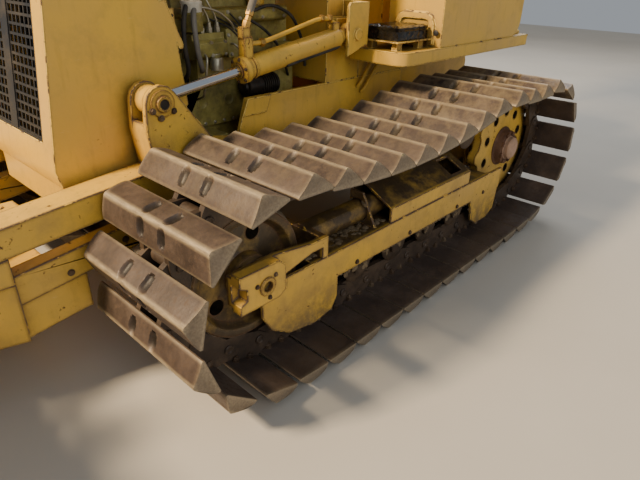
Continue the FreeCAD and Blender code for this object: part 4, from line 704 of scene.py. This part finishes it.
def roller_profile(radius, flange, inner):
    """A double-flanged roller, from one end to the other."""
    tread, end = tread_half + 2, tread_half + 18
    return mirrored([(end, inner), (end, radius - 16), (end - 3, flange - 5), (end - 7, flange), (tread + 3, flange),
                     (tread, flange - 4), (tread - 1, radius), (30, radius), (26, radius - 4), (0, radius - 5)])


def sprocket_outline(centre, start):
    """Teeth with round gullets between them, each seating on a bushing."""
    flank = [(0.08, pin_circle + 6), (0.15, pin_circle), (0.22, pin_circle - 12),
             (0.30, pin_circle - bushing + 1), (0.40, pin_circle - bushing - 2)]
    points = []
    for i in range(teeth):
        for share, radius in [(-a, r) for a, r in flank[::-1]] + flank:
            a = start + (i + share) * (2 * math.pi / teeth)
            points.append((centre.x + radius * math.cos(a), centre.z + radius * math.sin(a)))
    return points


def bottom_rollers(shape, sign, xs, roller_z):
    """Rollers between round end collars that hang from the track frame."""
    for x in xs:
        here = mm(x, sign * track_y, roller_z)
        lathe(shape, here, AXES["y"], roller_profile(75, 88, 20), 40)
        for way in (-1, 1):
            lathe(shape, here + mm(0, way * (tread_half + 17), 0), AXES["y"] * way,
                  [(0, 38), (4, 40), (17, 40), (17, 30)], 24)
            y0, y1 = sorted((sign * track_y + way * (tread_half + 19), sign * track_y + way * 110))
            half = [(44, 335), (44, roller_z - 12), (36, roller_z - 30), (20, roller_z - 40)]
            prism(shape, [(x - a, z) for a, z in half] + [(x + a, z) for a, z in half[::-1]], "y", y0, y1)


def carrier_form(shape, sign, here):
    """The carrier roller on its bracket."""
    lathe(shape, here, AXES["y"], roller_profile(62, 75, 16), 40)
    prism(shape, [(here.x - 60, 369), (here.x + 60, 369), (here.x + 34, here.z + 30), (here.x - 34, here.z + 30)],
          "y", *across_y(sign, track_y - 124, track_y - 106))
    y0, y1 = across_y(sign, track_y - 110, track_y - 80)
    lathe(shape, mm(here.x, y0, here.z), AXES["y"], [(0, 26), (y1 - y0, 26)], 24)


for side, sign in sides:
    outward = AXES["y"] * sign
    centre = centre_of(side + "_idler")
    shape = bmesh.new()
    idler_form(shape, centre)
    wheel = new_piece(side + " idler wheel", shape, track_yellow)
    cut_round_holes(wheel, centre, 145.0, 28.0, 5, idler_web + 30)
    place(wheel, track_yellow, replaced=[side + "_idler"], slot="roller_steel")
    drawn(side + " idler tread", lambda s: [lathe(s, centre, AXES["y"], [
        (a, idler_rim + 0.6), (a + b, idler_rim + 0.6), (a + b, idler_rim - 1), (a, idler_rim - 1)], 72, True)
        for a, b in ((-tread_half + 4, 28), (tread_half - 32, 28))], rubbed_steel)

    low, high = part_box(side + "_track_rollers")
    reach_x = (high.x - low.x) / MM / 2 - roller_reach
    middle = centre_of(side + "_track_rollers")
    xs = [middle.x + reach_x * (1 - 2 * i / (roller_count - 1)) for i in range(roller_count)]
    drawn(side + " track rollers", lambda s: bottom_rollers(s, sign, xs, low.z / MM + roller_reach), roller_steel,
          replaced=[side + "_track_rollers"])

    centre = centre_of(side + "_sprocket")
    back = min((m for m, _ in link_frames(side + "_track")), key=lambda m: m.x)
    start = math.atan2(back.z - centre.z, back.x - centre.x)
    hub = mm(centre.x, sign * track_y, centre.z)
    shape = bmesh.new()
    prism(shape, sprocket_outline(centre, start), "y", sign * track_y - 22, sign * track_y + 22)
    plate = new_piece(side + " sprocket plate", shape, frame_yellow)
    cut_round_holes(plate, hub, 196.0, 24.0, 10, 40)
    place(plate, frame_yellow, replaced=[side + "_sprocket"])
    drawn(side + " sprocket boss", lambda s: lathe(s, hub, outward, [
        (20, 112), (26, 110), (30, 100), (34, 97), (56, 95), (63, 90), (63, 60)], 48), rusty_steel)
    drawn(side + " sprocket cap", lambda s: lathe(s, hub, outward, [
        (60, 66), (66, 66), (68, 62), (88, 61), (96, 54), (98, 46), (98, 18), (96, 14)], 40), pale_cap)
    spread(side + " hub lugs", lambda s: block(s, -9, 9, -3, 9, -14, 14),
           [(hub + mm(82 * math.cos(a), sign * 62, 82 * math.sin(a)), (0.0, -a, 0.0), whole)
            for a in [2 * math.pi * (i + 0.5) / 8 for i in range(8)]], rusty_steel)

    low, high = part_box(side + "_carrier_roller")
    carrier = mm((low.x + high.x) / 2 / MM, sign * track_y, high.z / MM - 73.0)
    drawn(side + " carrier", lambda s: carrier_form(s, sign, carrier), roller_steel,
          replaced=[side + "_carrier_roller"])


# Hydraulic cylinders

def eye_form(shape, centre, axis, half, inner, outer):
    lathe(shape, centre, axis, [(-half, inner + 0.8), (-half, outer - 3), (-half + 3, outer), (half - 3, outer),
                                (half, outer - 3), (half, inner + 0.8)], 40, closed=True)


def barrel_form(shape, rear, along, axis, radius, rod, length, eye_half, neck, pin):
    """Tube with a welded rear cap, a weld band, a bolted gland and a round eye."""
    lathe(shape, rear, along, [
        (neck + 0.5, 0.5), (neck, radius - 14), (neck + 5, radius - 4), (neck + 12, radius), (length - 66, radius),
        (length - 64, radius + 3), (length - 54, radius + 3), (length - 52, radius), (length - 35, radius),
        (length - 34, radius + 7), (length - 31, radius + 8), (length - 4, radius + 8), (length - 1, radius + 4),
        (length - 1, rod + 9), (length + 4, rod + 8), (length + 4, rod + 0.8), (neck + 14, rod + 0.8),
        (neck + 14, 0.5)], 40)
    lathe(shape, rear, along, [(pin + 4, eye_half - 3), (neck + 4, eye_half + 2)], 24)
    eye_form(shape, rear, axis, eye_half, pin, pin * 1.7)


def cylinder(name, rear, front, axis, radius, rod, length, eye_half, neck, pin, rod_eye, retract):
    """A barrel and its rod between two pins, standing for the two nodes of that name."""
    along = (front - rear).normalized()
    barrel, rod_node = name + "_barrel", name + "_rod"
    drawn(name + " tube", lambda s: barrel_form(s, rear, along, axis, radius, rod, length, eye_half, neck, pin),
          frame_yellow, body_of[barrel], [barrel])
    across = along.orthogonal().normalized()
    up = along.cross(across)
    spread(name + " gland bolts", bolt_form, [
        (rear + along * (length - 1) + (across * math.cos(a) + up * math.sin(a)) * (radius + 1), facing(along),
         (5.5, 5.5, 5.5)) for a in [math.pi * (2 * i + 1) / 6 for i in range(6)]],
           bolt_steel, body_of[barrel], slot="plated_rod")
    start, reach = neck + 15 + retract, (front - rear).length
    drawn(name + " chrome", lambda s: lathe(s, rear, along, [
        (start, rod - 1), (start + 1, rod), (reach - rod_eye + 2, rod)], 32), plated, body_of[rod_node], [rod_node])
    drawn(name + " rod eye", lambda s: (eye_form(s, front, axis, eye_half, rod_eye * 0.5, rod_eye), lathe(
        s, rear, along, [(reach - rod_eye - 16, rod + 3), (reach - rod_eye - 13, rod + 7),
                         (reach - rod_eye + 5, rod + 9)], 32)), frame_yellow, body_of[rod_node], [rod_node])


lift_y = 410.0
for side, sign in sides:
    cylinder(side + "_lift", mm(-430, sign * lift_y, 1060), mm(575, sign * lift_y, 913), AXES["y"],
             42, 20, 640, 30, 80, 25, 50, 190)
    cylinder(side + "_angle", mm(1050, sign * 170, 550), mm(1700, sign * 460, 550), AXES["z"],
             34, 16, 480, 20, 64, 16, 27, 170)
cylinder("tilt", mm(1716, -120, 760), mm(1716, 500, 760), AXES["x"], 32, 16, 360, 20, 50, 14, 27, 55)


# Fittings on the lift cylinders

def turned(name, start, axis, profile, steps, material, **kept):
    """A piece turned about one axis."""
    drawn(name, lambda s: lathe(s, start, axis, profile, steps), material, **kept)


def lift_fittings(side, sign, barrel):
    """Port block on the barrel, steel line back to the rear port, elbow and hose up to the cowl."""
    def at(x, z, y=lift_y):
        return mm(x, sign * y, z)

    def ports(s):
        y0, y1 = across_y(sign, 390, 430)
        for x0, x1, inset, z0, z1 in ((144, 186, 0, 1008, 1084), (152, 190, 4, 1080, 1121),
                                      (-346, -306, 4, 1070, 1112)):
            block(s, x0, x1, y0 + inset, y1 - inset, z0, z1)

    def nuts(s):
        for x, z, dx, dz in ((96, 1060, -1, 0.0), (-236, 1129, -1, 0.02), (-284, 1128, -1, 0)):
            lathe(s, at(x, z), mm(dx, 0, dz), [(0, 13), (3, 16), (19, 16), (22, 13)], 6)
        lathe(s, at(164, 1112), mm(-0.42, 0, 0.9), [(0, 14), (10, 17), (28, 17), (31, 12), (48, 12), (50, 16),
                                                    (66, 16), (69, 13)], 6)
        for x, y in ((150, 398), (150, 422), (180, 398), (180, 422)):
            lathe(s, at(x, 1083, y), AXES["z"], [(0, 5), (5, 5), (6, 4)], 6)

    drawn(side + " lift ports", ports, frame_yellow, barrel, eased=3)
    drawn(side + " lift line", lambda s: pipe(s, [at(150, 1060), at(84, 1060), at(28, 1071), at(-224, 1128),
                                                  at(-290, 1128), at(-326, 1108)], 9, 30, 14), pipe_yellow, barrel)
    drawn(side + " lift unions", nuts, brass, barrel)
    drawn(side + " clipped hose", lambda s: pipe(s, [
        at(-20, 966, 438), at(-60, 974, 440), at(-200, 994, 440), at(-330, 1013, 440), at(-352, 1020, 424)], 6, 30, 10),
          black_rubber, barrel)
    route = [at(140, 1168), at(108, 1236), at(78, 1290), at(10, 1332, 400), at(-150, 1336, 372),
             at(-300, 1296, 330), at(-374, 1262, 296)]
    shape = bmesh.new()
    pipe(shape, route, 14, 60, 16)
    hose = new_piece(side + "_lift_hose", shape, grey_hose)
    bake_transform(hose)
    turned(side + " cowl union", at(-369, 1265, 299), mm(0.9, 0, 0.4), [
        (-10, 19), (0, 19), (3, 21), (18, 21), (21, 17)], 6, bright_zinc, slot="plated_rod")


def tower_pin(shape, outward, sign):
    """The pin's head outside the tower, with its bore, and its end inside."""
    lathe(shape, mm(575, sign * 469, 913), outward, [
        (0, 45), (6, 45), (8, 43), (9, 27), (16, 26), (18, 24), (18, 17), (4, 16), (4, 0.5)], 40)
    lathe(shape, mm(575, sign * 345, 913), outward, [(0, 36), (6, 36), (8, 30)], 40)


for side, sign in sides:
    outward, arm = AXES["y"] * sign, body_of[side + "_frame_arm"]
    lift_fittings(side, sign, body_of[side + "_lift_barrel"])
    drawn(side + " tower pin", lambda s: tower_pin(s, outward, sign), frame_yellow, arm)
    # Painted shade: a near-black lining in the pin's bore
    turned(side + " tower pin bore", mm(575, sign * 470, 913), outward, [
        (12, 16.8), (15.4, 16.8), (15.6, 19), (16.4, 22.4), (16.8, 22.4), (16.9, 20), (15.9, 15), (13.2, 13),
        (13.0, 0.5)], 32, black_iron_and_hole_shade, body=arm)
    drawn(side + " yoke ring", lambda s: lathe(s, mm(553, sign * 942, 411), outward, [
        (-3, 34), (5, 34), (7, 31), (6, 19), (-3, 19)], 32, True), frame_yellow)
    spread(side + " yoke ring bolts", bolt_form, [
        (mm(553 + 46 * math.cos(a), sign * 943, 411 + 46 * math.sin(a)), facing((0, sign, 0)), (7, 7, 7))
        for a in [math.radians(b) for b in (20, 140, 260)]], bolt_steel)
    spread(side + " tower bolts", bolt_form, [(mm(575 + dx, sign * 476, 913 + dz), facing((0, sign, 0)), (9, 9, 9))
                                              for dx, dz in ((-37, -28), (12, -45), (40, -18))], bolt_steel, arm)


# Bolts set on the surfaces of the plates

def surface(node):
    """Where a ray first meets a node, in millimetres, with the surface's direction."""
    mesh = nodes[node].data
    tree = BVHTree.FromPolygons([v.co for v in mesh.vertices], [p.vertices for p in mesh.polygons])

    def hit(start, direction):
        point, normal, _, _ = tree.ray_cast(Vector(start) * MM, Vector(direction))
        if point is None:
            return None
        return point / MM, -normal if normal.dot(Vector(direction)) > 0 else normal
    return hit


def bolted(name, node, starts, direction, size, material=bolt_steel, slot=None):
    """Bolts of a size where rays from some starts meet a node."""
    hit = surface(node)
    found = [spot for spot in (hit(start, direction) for start in starts) if spot]
    spread(name, bolt_form, [(spot, facing(normal), (size, size, size * 0.8)) for spot, normal in found],
           material, body_of[node], slot=slot)


bolted("edge bolts", "cutting_edge", [(2300, -1140 + 95 * i, 66) for i in range(25)], (-1, 0, 0), 11,
       slot="worn_steel")
for side, sign in sides:
    drive = [math.radians(30 * i + 15) for i in range(12)]
    for name, node, size, starts in (
            (" drive bolts", side + "_final_drive", 8,
             [(-1367 + 118 * math.cos(a), 1500, 430 + 118 * math.sin(a)) for a in drive]),
            (" post bolts", side + "_rops_post", 11, [(x, 900, z) for x in (-1745, -1655) for z in (1050, 1130)]),
            (" guard bolts", side + "_track_frame", 9, [(x, 1200, 275) for x in (-1010, -740, -330, 40)]),
            (" rail bolts", side + "_low_rail", 10, [(760, 900, 470), (860, 900, 440), (960, 900, 420)]),
            (" hood bolts", "hood", 7, [(x, 700, 1364) for x in (-340, -130, 90, 310, 480)])):
        bolted(side + name, node, [(x, sign * y, z) for x, y, z in starts], (0, -sign, 0), size)
sump = [(-310 + 50 * i, 712) for i in range(13)]
for name, sign, spots in (
        ("engine side bolts", 1, [(-300 + 56 * i, 1012) for i in range(6)]
         + [(-240 + 62 * i, 1126 + 26 * (i % 2)) for i in range(8)]
         + [(x, z) for x in (134, 200, 264) for z in (1004, 1052)] + [(x, z) for x in (50, 100) for z in (1000, 1070)]),
        ("engine right bolts", -1, [(-300 + 56 * i, 1012) for i in range(11)])):
    bolted(name, "engine", [(x, sign * 600, z) for x, z in sump + spots], (0, -sign, 0), 6.5, bright_zinc)


# Engine lines, hoses and small parts

valve_x = (140, 177, 214, 251)


def pipes(name, runs, material):
    """Pipes or hoses, each a radius, the length that eases its bends, its number of sides, and its path."""
    drawn(name, lambda s: [pipe(s, path, radius, bend, steps) for radius, bend, steps, path in runs], material)


def valve_nuts(s):
    for x in valve_x:
        lathe(s, mm(x, 206, 1082), AXES["z"], [(0, 12), (3, 13), (20, 13), (22, 10), (26, 10), (27, 8), (38, 8),
                                               (40, 6)], 6)
        lathe(s, mm(x, 206, 1066), AXES["z"], [(0, 15), (16, 15), (18, 12)], 16)


def starter_form(s):
    ribs = [(-150 + 12 * i + along, radius) for i in range(7) for along, radius in ((0, 43), (1, 48), (6, 48), (7, 43))]
    lathe(s, mm(0, 202, 852), AXES["x"], [(-161, 30), (-160, 43)] + ribs + [
        (-30, 43.5), (-28, 46), (10, 46), (12, 44), (12, 30), (22, 26), (24, 12)], 40)
    lathe(s, mm(0, 176, 908), AXES["x"], [(-150, 14), (-148, 20), (-60, 20), (-58, 14)], 24)


def right_side_parts(s):
    """Oil filter, generator and their feet, and the exhaust manifold with its ports and elbow."""
    lathe(s, mm(-120, -196, 740), AXES["z"], [(0, 30), (6, 40), (120, 42), (128, 44), (140, 44), (146, 36)], 32)
    block(s, -150, -90, -200, -146, 880, 910)
    lathe(s, mm(180, -212, 930), AXES["x"], [(0, 30), (4, 52), (30, 58), (70, 58), (96, 52), (100, 30), (112, 28),
                                             (114, 12)], 40)
    block(s, 205, 255, -214, -146, 880, 915)
    for x in (-250, -120, 10, 140):
        lathe(s, mm(x, -146, 1090), -AXES["y"], [(0, 34), (8, 34), (10, 26), (60, 24)], 24)
    lathe(s, mm(-284, -212, 1090), AXES["x"], [(0, 20), (4, 34), (452, 34), (456, 20)], 24)
    pipe(s, [(120, -212, 1090), (120, -206, 1128), (120, -140, 1150), (120, -112, 1172)], 27, 30, 24)


pipes("injection lines", [(3.4, 24, 10, [
    (x, 206, 1098), (x, 206, 1136), (x + 38, 202, 1196 + 6 * i), (x + 30, 150, 1262), (x + 90 * i - 250, 70, 1262),
    (x + 90 * i - 250, 40, 1214)]) for i, x in enumerate(valve_x)] + [
    (4.5, 20, 10, [(98, 238, 1040), (98, 262, 1040), (60, 266, 1000), (20, 240, 930), (0, 150, 900)]),
    (5, 20, 10, [(236, 248, 1010), (240, 268, 1000), (250, 266, 930), (250, 240, 850), (220, 152, 820)]),
    (4.5, 24, 10, [(258, 216, 1160), (225, 232, 1180), (150, 236, 1160), (90, 232, 1120), (70, 226, 1090)])],
      bright_zinc)
drawn("pump valves", valve_nuts, bright_zinc)
pipes("water hoses", [
    (17, 60, 18, [(296, 60, 1236), (340, 96, 1210), (380, 158, 1130), (372, 186, 1030), (338, 168, 930),
                  (296, 120, 905)]),
    (13, 60, 16, [(352, 40, 1250), (380, 120, 1232), (412, 196, 1160), (418, 214, 1050), (392, 190, 930),
                  (362, 140, 800)]),
    (9, 50, 14, [(200, 148, 1182), (262, 214, 1216), (316, 244, 1150), (326, 250, 1040), (300, 232, 950),
                 (276, 148, 900)])], black_rubber)
pipes("fuel hose", [(10, 40, 16, [(258, 236, 1180), (284, 262, 1156), (292, 276, 1090), (286, 276, 1020),
                                  (262, 262, 960), (236, 222, 946)])], grey_hose)
pipes("wires", [(3.2, 40, 8, [(60 + 34 * i, 188, 1148 - 6 * i), (30 + 20 * i, 226, 1100),
                              (-10 - 14 * i, 240, 1010 - 20 * i), (-50, 214, 936), (-80 - 12 * i, 208, 890)])
                for i in range(4)] + [
    (6, 50, 10, [(-20, 190, 1130), (-100, 222, 1080), (-180, 226, 1000), (-250, 190, 900), (-300, 148, 860)]),
    (7, 50, 10, [(-60, 186, 1150), (-140, 216, 1180), (-260, 224, 1130), (-340, 214, 1000), (-372, 190, 900)])],
      black_rubber)
drawn("starter", starter_form, black_iron_and_hole_shade, slot="engine_casting")
drawn("right engine parts", right_side_parts, casting)
turned("oil cap", mm(180, 244, 946), AXES["z"], [
    (0, 22), (2, 26), (44, 26), (48, 24), (50, 17), (62, 16), (64, 13)], 28, bright_zinc)
turned("fuel filter bowl", mm(258, 216, 1090), AXES["z"], [
    (0, 20), (4, 36), (8, 38), (62, 38), (64, 40), (70, 40), (72, 37)], 32, casting)
turned("fuel filter head", mm(258, 216, 1160), AXES["z"], [
    (0, 37.5), (28, 37.5), (32, 40), (38, 40), (41, 34), (42, 14), (52, 13), (54, 9)], 32, dial_face,
       slot="engine_casting")
drawn("core plugs", lambda s: [lathe(s, mm(x, 149, 800), AXES["y"], [
    (0, 27), (3, 26), (4, 22), (1.5, 18), (1.5, 0.5)], 28) for x in (-230, -90, 60, 200)], casting)


# Exhaust, air cleaner, grille, lamps and gauges

turned("exhaust stack", mm(120, -112, 1130), AXES["z"], [
    (0, 30), (352, 30), (356, 36), (360, 62), (372, 75), (414, 75), (416, 78), (426, 78), (428, 75), (690, 75),
    (692, 78), (702, 78), (704, 75), (724, 75), (736, 62), (741, 38), (744, 32), (1026, 32), (1030, 31), (1030, 28),
    (930, 27), (930, 0.5)], 48, sooted, replaced=["exhaust"])
turned("air cleaner bowl", mm(-140, 118, 1168), AXES["z"], [
    (0, 36), (300, 36), (302, 40), (314, 40), (316, 36), (462, 36), (468, 44), (474, 82), (478, 85), (540, 85),
    (542, 88), (552, 88), (554, 85), (604, 85), (612, 80), (613, 62), (628, 60), (632, 54), (632, 0.5)], 48,
       yellow, replaced=["air_cleaner"])


def grille_mesh(s):
    """Upright and level bars on the grille's sloping plane, with a broad middle bar and a border."""
    bars = [(-234.6 + 33 * i, -227.4 + 33 * i, 797, 1328, 5, 9) for i in range(15)]
    bars += [(-236, 236, 801.8 + 30.5 * i, 810.2 + 30.5 * i, 4, 8) for i in range(18)]
    bars += [(-30, 30, 796, 1329, 1, 5), (-238, -228, 796, 1329, 2, 12), (228, 238, 796, 1329, 2, 12),
             (-238, 238, 795, 804, 2, 12), (-238, 238, 1320, 1330, 2, 12)]
    for y0, y1, z0, z1, front, back in bars:
        skin(s, [[mm(896 - 0.131 * (z - 735) - depth, y, z) for y, z in ((y0, z0), (y1, z0), (y1, z1), (y0, z1))]
                 for depth in (front, back)])


lamp_places = [(mm(x, y, 2500), AXES["x"] * way) for y in (-420, 420) for x, way in ((-430, 1), (-1870, -1))]
dash_normal = mm(-220, 0, 60).normalized()
gauge_places = [mm(-590, y, 1410) for y in (-225, -150, 130, 205)]
drawn("grille mesh", grille_mesh, black_paint, replaced=["grille"])
drawn("radiator fins", lambda s: [block(s, 691, 696, -265.8 + 9 * i, -264.2 + 9 * i, 700, 1340) for i in range(60)],
      black_iron_and_hole_shade)
drawn("lamp glasses", lambda s: [lathe(s, p, axis, [(-3, 54), (1, 52), (4, 36), (5.5, 2)], 36)
                                 for p, axis in lamp_places], lamp_glass)
drawn("lamp rims", lambda s: [lathe(s, p, axis, [(-14, 60), (-14, 64), (4, 64), (6, 61), (4, 53), (-2, 53)], 36, True)
                              for p, axis in lamp_places], black_paint)
drawn("gauge bezels", lambda s: [lathe(s, p, dash_normal, [(-3, 34), (7, 34), (9, 31), (7, 28), (-3, 28)], 36, True)
                                 for p in gauge_places], black_paint)
drawn("gauge dials", lambda s: [lathe(s, p, dash_normal, [(-2, 29), (3, 29), (3.4, 5), (6, 4), (6.4, 2)], 36)
                                for p in gauge_places], dial_face)


# Small steel pieces: latches, lines, flanges, lids and caps

def box_lids(s):
    """Lids with three hinge barrels each."""
    for sign in (1, -1):
        block(s, -1634, -792, *across_y(sign, 354, 656), 1419, 1425)
        for x in (-1500, -1213, -930):
            lathe(s, mm(x - 34, sign * 354, 1425), AXES["x"], [(0, 7), (68, 7)], 14)


turned("box latch", mm(-787, 637, 1058), AXES["x"], [(0, 13), (4, 13), (5, 10), (6, 3)], 24, black_paint)
pipes("fuel lines", [(8, 14, 12, [(-698, 340, 946), (-705, 340, 927), (-619, 340, 811), (-610, 326, 790)]),
                     (8, 14, 12, [(-768, 340, 946), (-775, 340, 924), (-652, 340, 780), (-640, 326, 760)])],
      pipe_yellow)
drawn("guard flanges", lambda s: [prism(s, [(398, 1186), (440, 1186), (440, 1040), (392, 1040)], "y",
                                        *across_y(sign, 308, 313)) for sign in (1, -1)], yellow)
# Painted shade: near-black discs stand for the holes in the guard flanges
drawn("flange holes", lambda s: [lathe(s, mm(407, sign * 307, z), AXES["y"] * sign, [(0, 6), (6.6, 6), (6.7, 5)], 16)
                                 for sign in (1, -1) for z in (1064, 1112, 1162)], black_iron_and_hole_shade)
drawn("box lids", box_lids, yellow, eased=2)
drawn("tank cap", lambda s: (lathe(s, mm(-1698, 120, 1558), AXES["z"], [
    (0, 44), (14, 44), (16, 58), (20, 60), (34, 60), (38, 56), (39, 20), (40, 5)], 40),
                             block(s, -1704, -1692, 84, 156, 1596, 1606)), black_paint)
drawn("radiator cap", lambda s: (lathe(s, mm(640, 0, 1396), AXES["z"], [
    (0, 30), (12, 30), (14, 36), (24, 36), (27, 30), (28, 6)], 32),
                                 block(s, 634, 646, -26, 26, 1423, 1430)), bright_zinc, slot="plated_rod")
for side, sign in sides:
    spread(side + " box latches", lambda s: (block(s, -16, 16, -11, 11, 0, 5), block(s, -7, 7, -30, 4, 4, 10)),
           [(mm(x, sign * 660, 1390), facing((0, sign, 0)), whole) for x in (-1420, -1000)], black_paint)


def crumpled(node, finish, seed):
    """A box of folded sheeting: a dense skin over the node's box, creased by seeded waves."""
    low, high = (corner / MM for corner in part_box(node))
    shape = bmesh.new()
    block(shape, low.x, high.x, low.y, high.y, low.z, high.z)
    bmesh.ops.subdivide_edges(shape, edges=shape.edges, cuts=31, use_grid_fill=True)
    middle, half = (low + high) / 2, (high - low) / 2
    rng = random.Random(seed)
    waves = [(mm(rng.uniform(-1, 1), rng.uniform(-1, 1), rng.uniform(-1, 1)).normalized(),
              rng.uniform(34, 130), rng.uniform(0, 6.28)) for _ in range(9)]
    for vert in shape.verts:
        out = vert.co - middle
        out = mm(out.x / half.x, out.y / half.y, out.z / half.z)
        edge = sorted(abs(c) for c in out)
        sunk = 3.0 + 12 * max(0.0, edge[1] - 0.8) / 0.2
        for direction, length, phase in waves:
            sunk += 2.4 * abs(math.sin(vert.co.dot(direction) / length * 6.28 + phase)) ** 0.6
        if vert.co.z > low.z + 2:
            vert.co -= mm(out.x * 0.5, out.y * 0.5, max(out.z, 0.2)).normalized() * sunk * 0.7
    place(new_piece(node + " wrap", shape, finish), finish, body_of[node], [node])


crumpled("battery", sheeting, 5)


# Dried mud on the track frames and rollers

def lump_form(shape):
    """A rough crumb with a few dozen faces."""
    bmesh.ops.create_icosphere(shape, subdivisions=2, radius=1.0)
    rng = random.Random(3)
    for vert in shape.verts:
        vert.co *= rng.uniform(0.72, 1.12)


for side, sign, seed in (("left", 1, 11), ("right", -1, 12)):
    rng = random.Random(seed)
    frame_hit, roller_hit = surface(side + "_track_frame"), surface(side + "_track_rollers")
    spots = []
    for _ in range(420):
        x, low_edge = rng.uniform(-1180, 330), rng.random() < 0.7
        if low_edge:
            found = frame_hit((x, sign * rng.uniform(880, 897), 60), (0, 0, 1))
        else:
            found = roller_hit((x, sign * 1300, rng.uniform(200, 250)), (0, -sign, 0))
        if found:
            size = rng.uniform(3, 9) if low_edge else rng.uniform(4, 13)
            spots.append((found[0], facing(found[1], rng.uniform(0, 6.28)),
                          (size * rng.uniform(0.8, 1.6), size, size * rng.uniform(0.3, 0.6))))
    for _ in range(260):
        x, y = rng.uniform(-180, 300), rng.uniform(690, 860)
        found = frame_hit((x, sign * y, 460), (0, 0, -1))
        if found:
            size = rng.uniform(5, 20)
            spots.append((found[0], facing(found[1], rng.uniform(0, 6.28)), (size, size * 0.8, size * 0.4)))
    spread(side + " mud", lump_form, spots, dry_mud)


# Seat cushions

def seat_form(node, grow):
    """A crowned closed pad a little smaller than its node's box, its sides drawn in between the corners."""
    low, high = (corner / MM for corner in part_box(node))
    middle, half = (low + high) / 2, (high - low) / 2
    shape = bmesh.new()
    block(shape, -1, 1, -1, 1, -1, 1)
    bmesh.ops.subdivide_edges(shape, edges=shape.edges, cuts=11, use_grid_fill=True)
    round_off = min(half) * 0.45
    for vert in shape.verts:
        there = mm(vert.co.x * half.x, vert.co.y * half.y, vert.co.z * half.z)
        inner = Vector([math.copysign(min(abs(c), h - round_off), c) for c, h in zip(there, half)])
        away = there - inner
        if away.length > round_off:
            away *= round_off / away.length
        vert.co = middle + (inner + away) * grow
    return shape


def cushion(node, cap):
    """A vinyl cushion swelled by cloth pressure over its foam."""
    piece = new_piece(node + " padded", seat_form(node, 0.93), black_vinyl)
    modified(piece, "REMESH", mode="VOXEL", voxel_size=0.006)
    baked(piece)
    start = [v.co.copy() for v in piece.data.vertices]
    cloth = modified(piece, "CLOTH").settings
    cloth.use_pressure = True
    cloth.uniform_pressure_force = 4.0
    cloth.quality = 4
    cloth.effector_weights.gravity = 0.0
    for step in range(1, 21):
        bpy.context.scene.frame_set(step)
    baked(piece)
    bpy.context.scene.frame_set(1)
    low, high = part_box(node)
    for vert, was in zip(piece.data.vertices, start):
        move = vert.co - was
        if move.length > cap * MM:
            vert.co = was + move * (cap * MM / move.length)
        for axis in range(3):
            vert.co[axis] = min(max(vert.co[axis], low[axis] - 0.004), high[axis] + 0.004)
    modified(piece, "SUBSURF", levels=1, render_levels=1)
    baked(piece)
    piece.data.materials.clear()
    piece.data.materials.append(black_vinyl)
    piece.data.polygons.foreach_set("use_smooth", [True] * len(piece.data.polygons))
    place(piece, black_vinyl, body_of[node], [node])


cushion("seat_cushion", 22)
cushion("seat_back", 22)


# Floor, light and camera

# Smooth concrete: matt and pale, in faint broad clouds
concrete, tree, shader, point = new_material("pale concrete")
tree.links.new(patches(tree, point, 900, ("#b9b4aa", "#c9c4ba")), shader.inputs["Base Color"])
shader.inputs["Roughness"].default_value = 0.9
reach = 14.0
mesh = bpy.data.meshes.new("floor_plane")
mesh.from_pydata([(-reach, -reach, 0), (reach, -reach, 0), (reach, reach, 0), (-reach, reach, 0)], [], [(0, 1, 2, 3)])
mesh.materials.append(concrete)
object_from("floor_plane", mesh)

for name, spot, target, size, power, tint in (
        ("key_light", (6.8, -1.5, 6.4), (-0.3, 0.3, 0.5), 1.2, 1650, "#ffe3ba"),
        ("fill_light", (1.5, 7.5, 3.6), (-0.2, 0.6, 0.6), 5.0, 160, "#f4f2ee"),
        ("rear_light", (-7.0, -2.0, 6.0), (-0.3, 0.0, 0.8), 4.0, 300, "#ffffff")):
    light = bpy.data.lights.new(name, "AREA")
    light.size, light.energy, light.color = size, power, hex_color(tint)[:3]
    lamp = object_from(name, light)
    lamp.location = spot
    lamp.rotation_euler = (Vector(target) - Vector(spot)).to_track_quat("-Z", "Y").to_euler()

world = bpy.data.worlds.new("studio")
world.use_nodes = True
sky = world.node_tree.nodes["Background"].inputs
sky["Color"].default_value, sky["Strength"].default_value = hex_color("#dfe6ee"), 0.42
bpy.context.scene.world = world

camera = object_from("camera", bpy.data.cameras.new("camera"))
camera.data.lens, camera.data.sensor_width = 29.39, 36.0
camera.location = (1.482627, 2.019426, 1.323676)
camera.rotation_euler = (1.087650, -0.020885, 2.324652)
bpy.context.scene.camera = camera
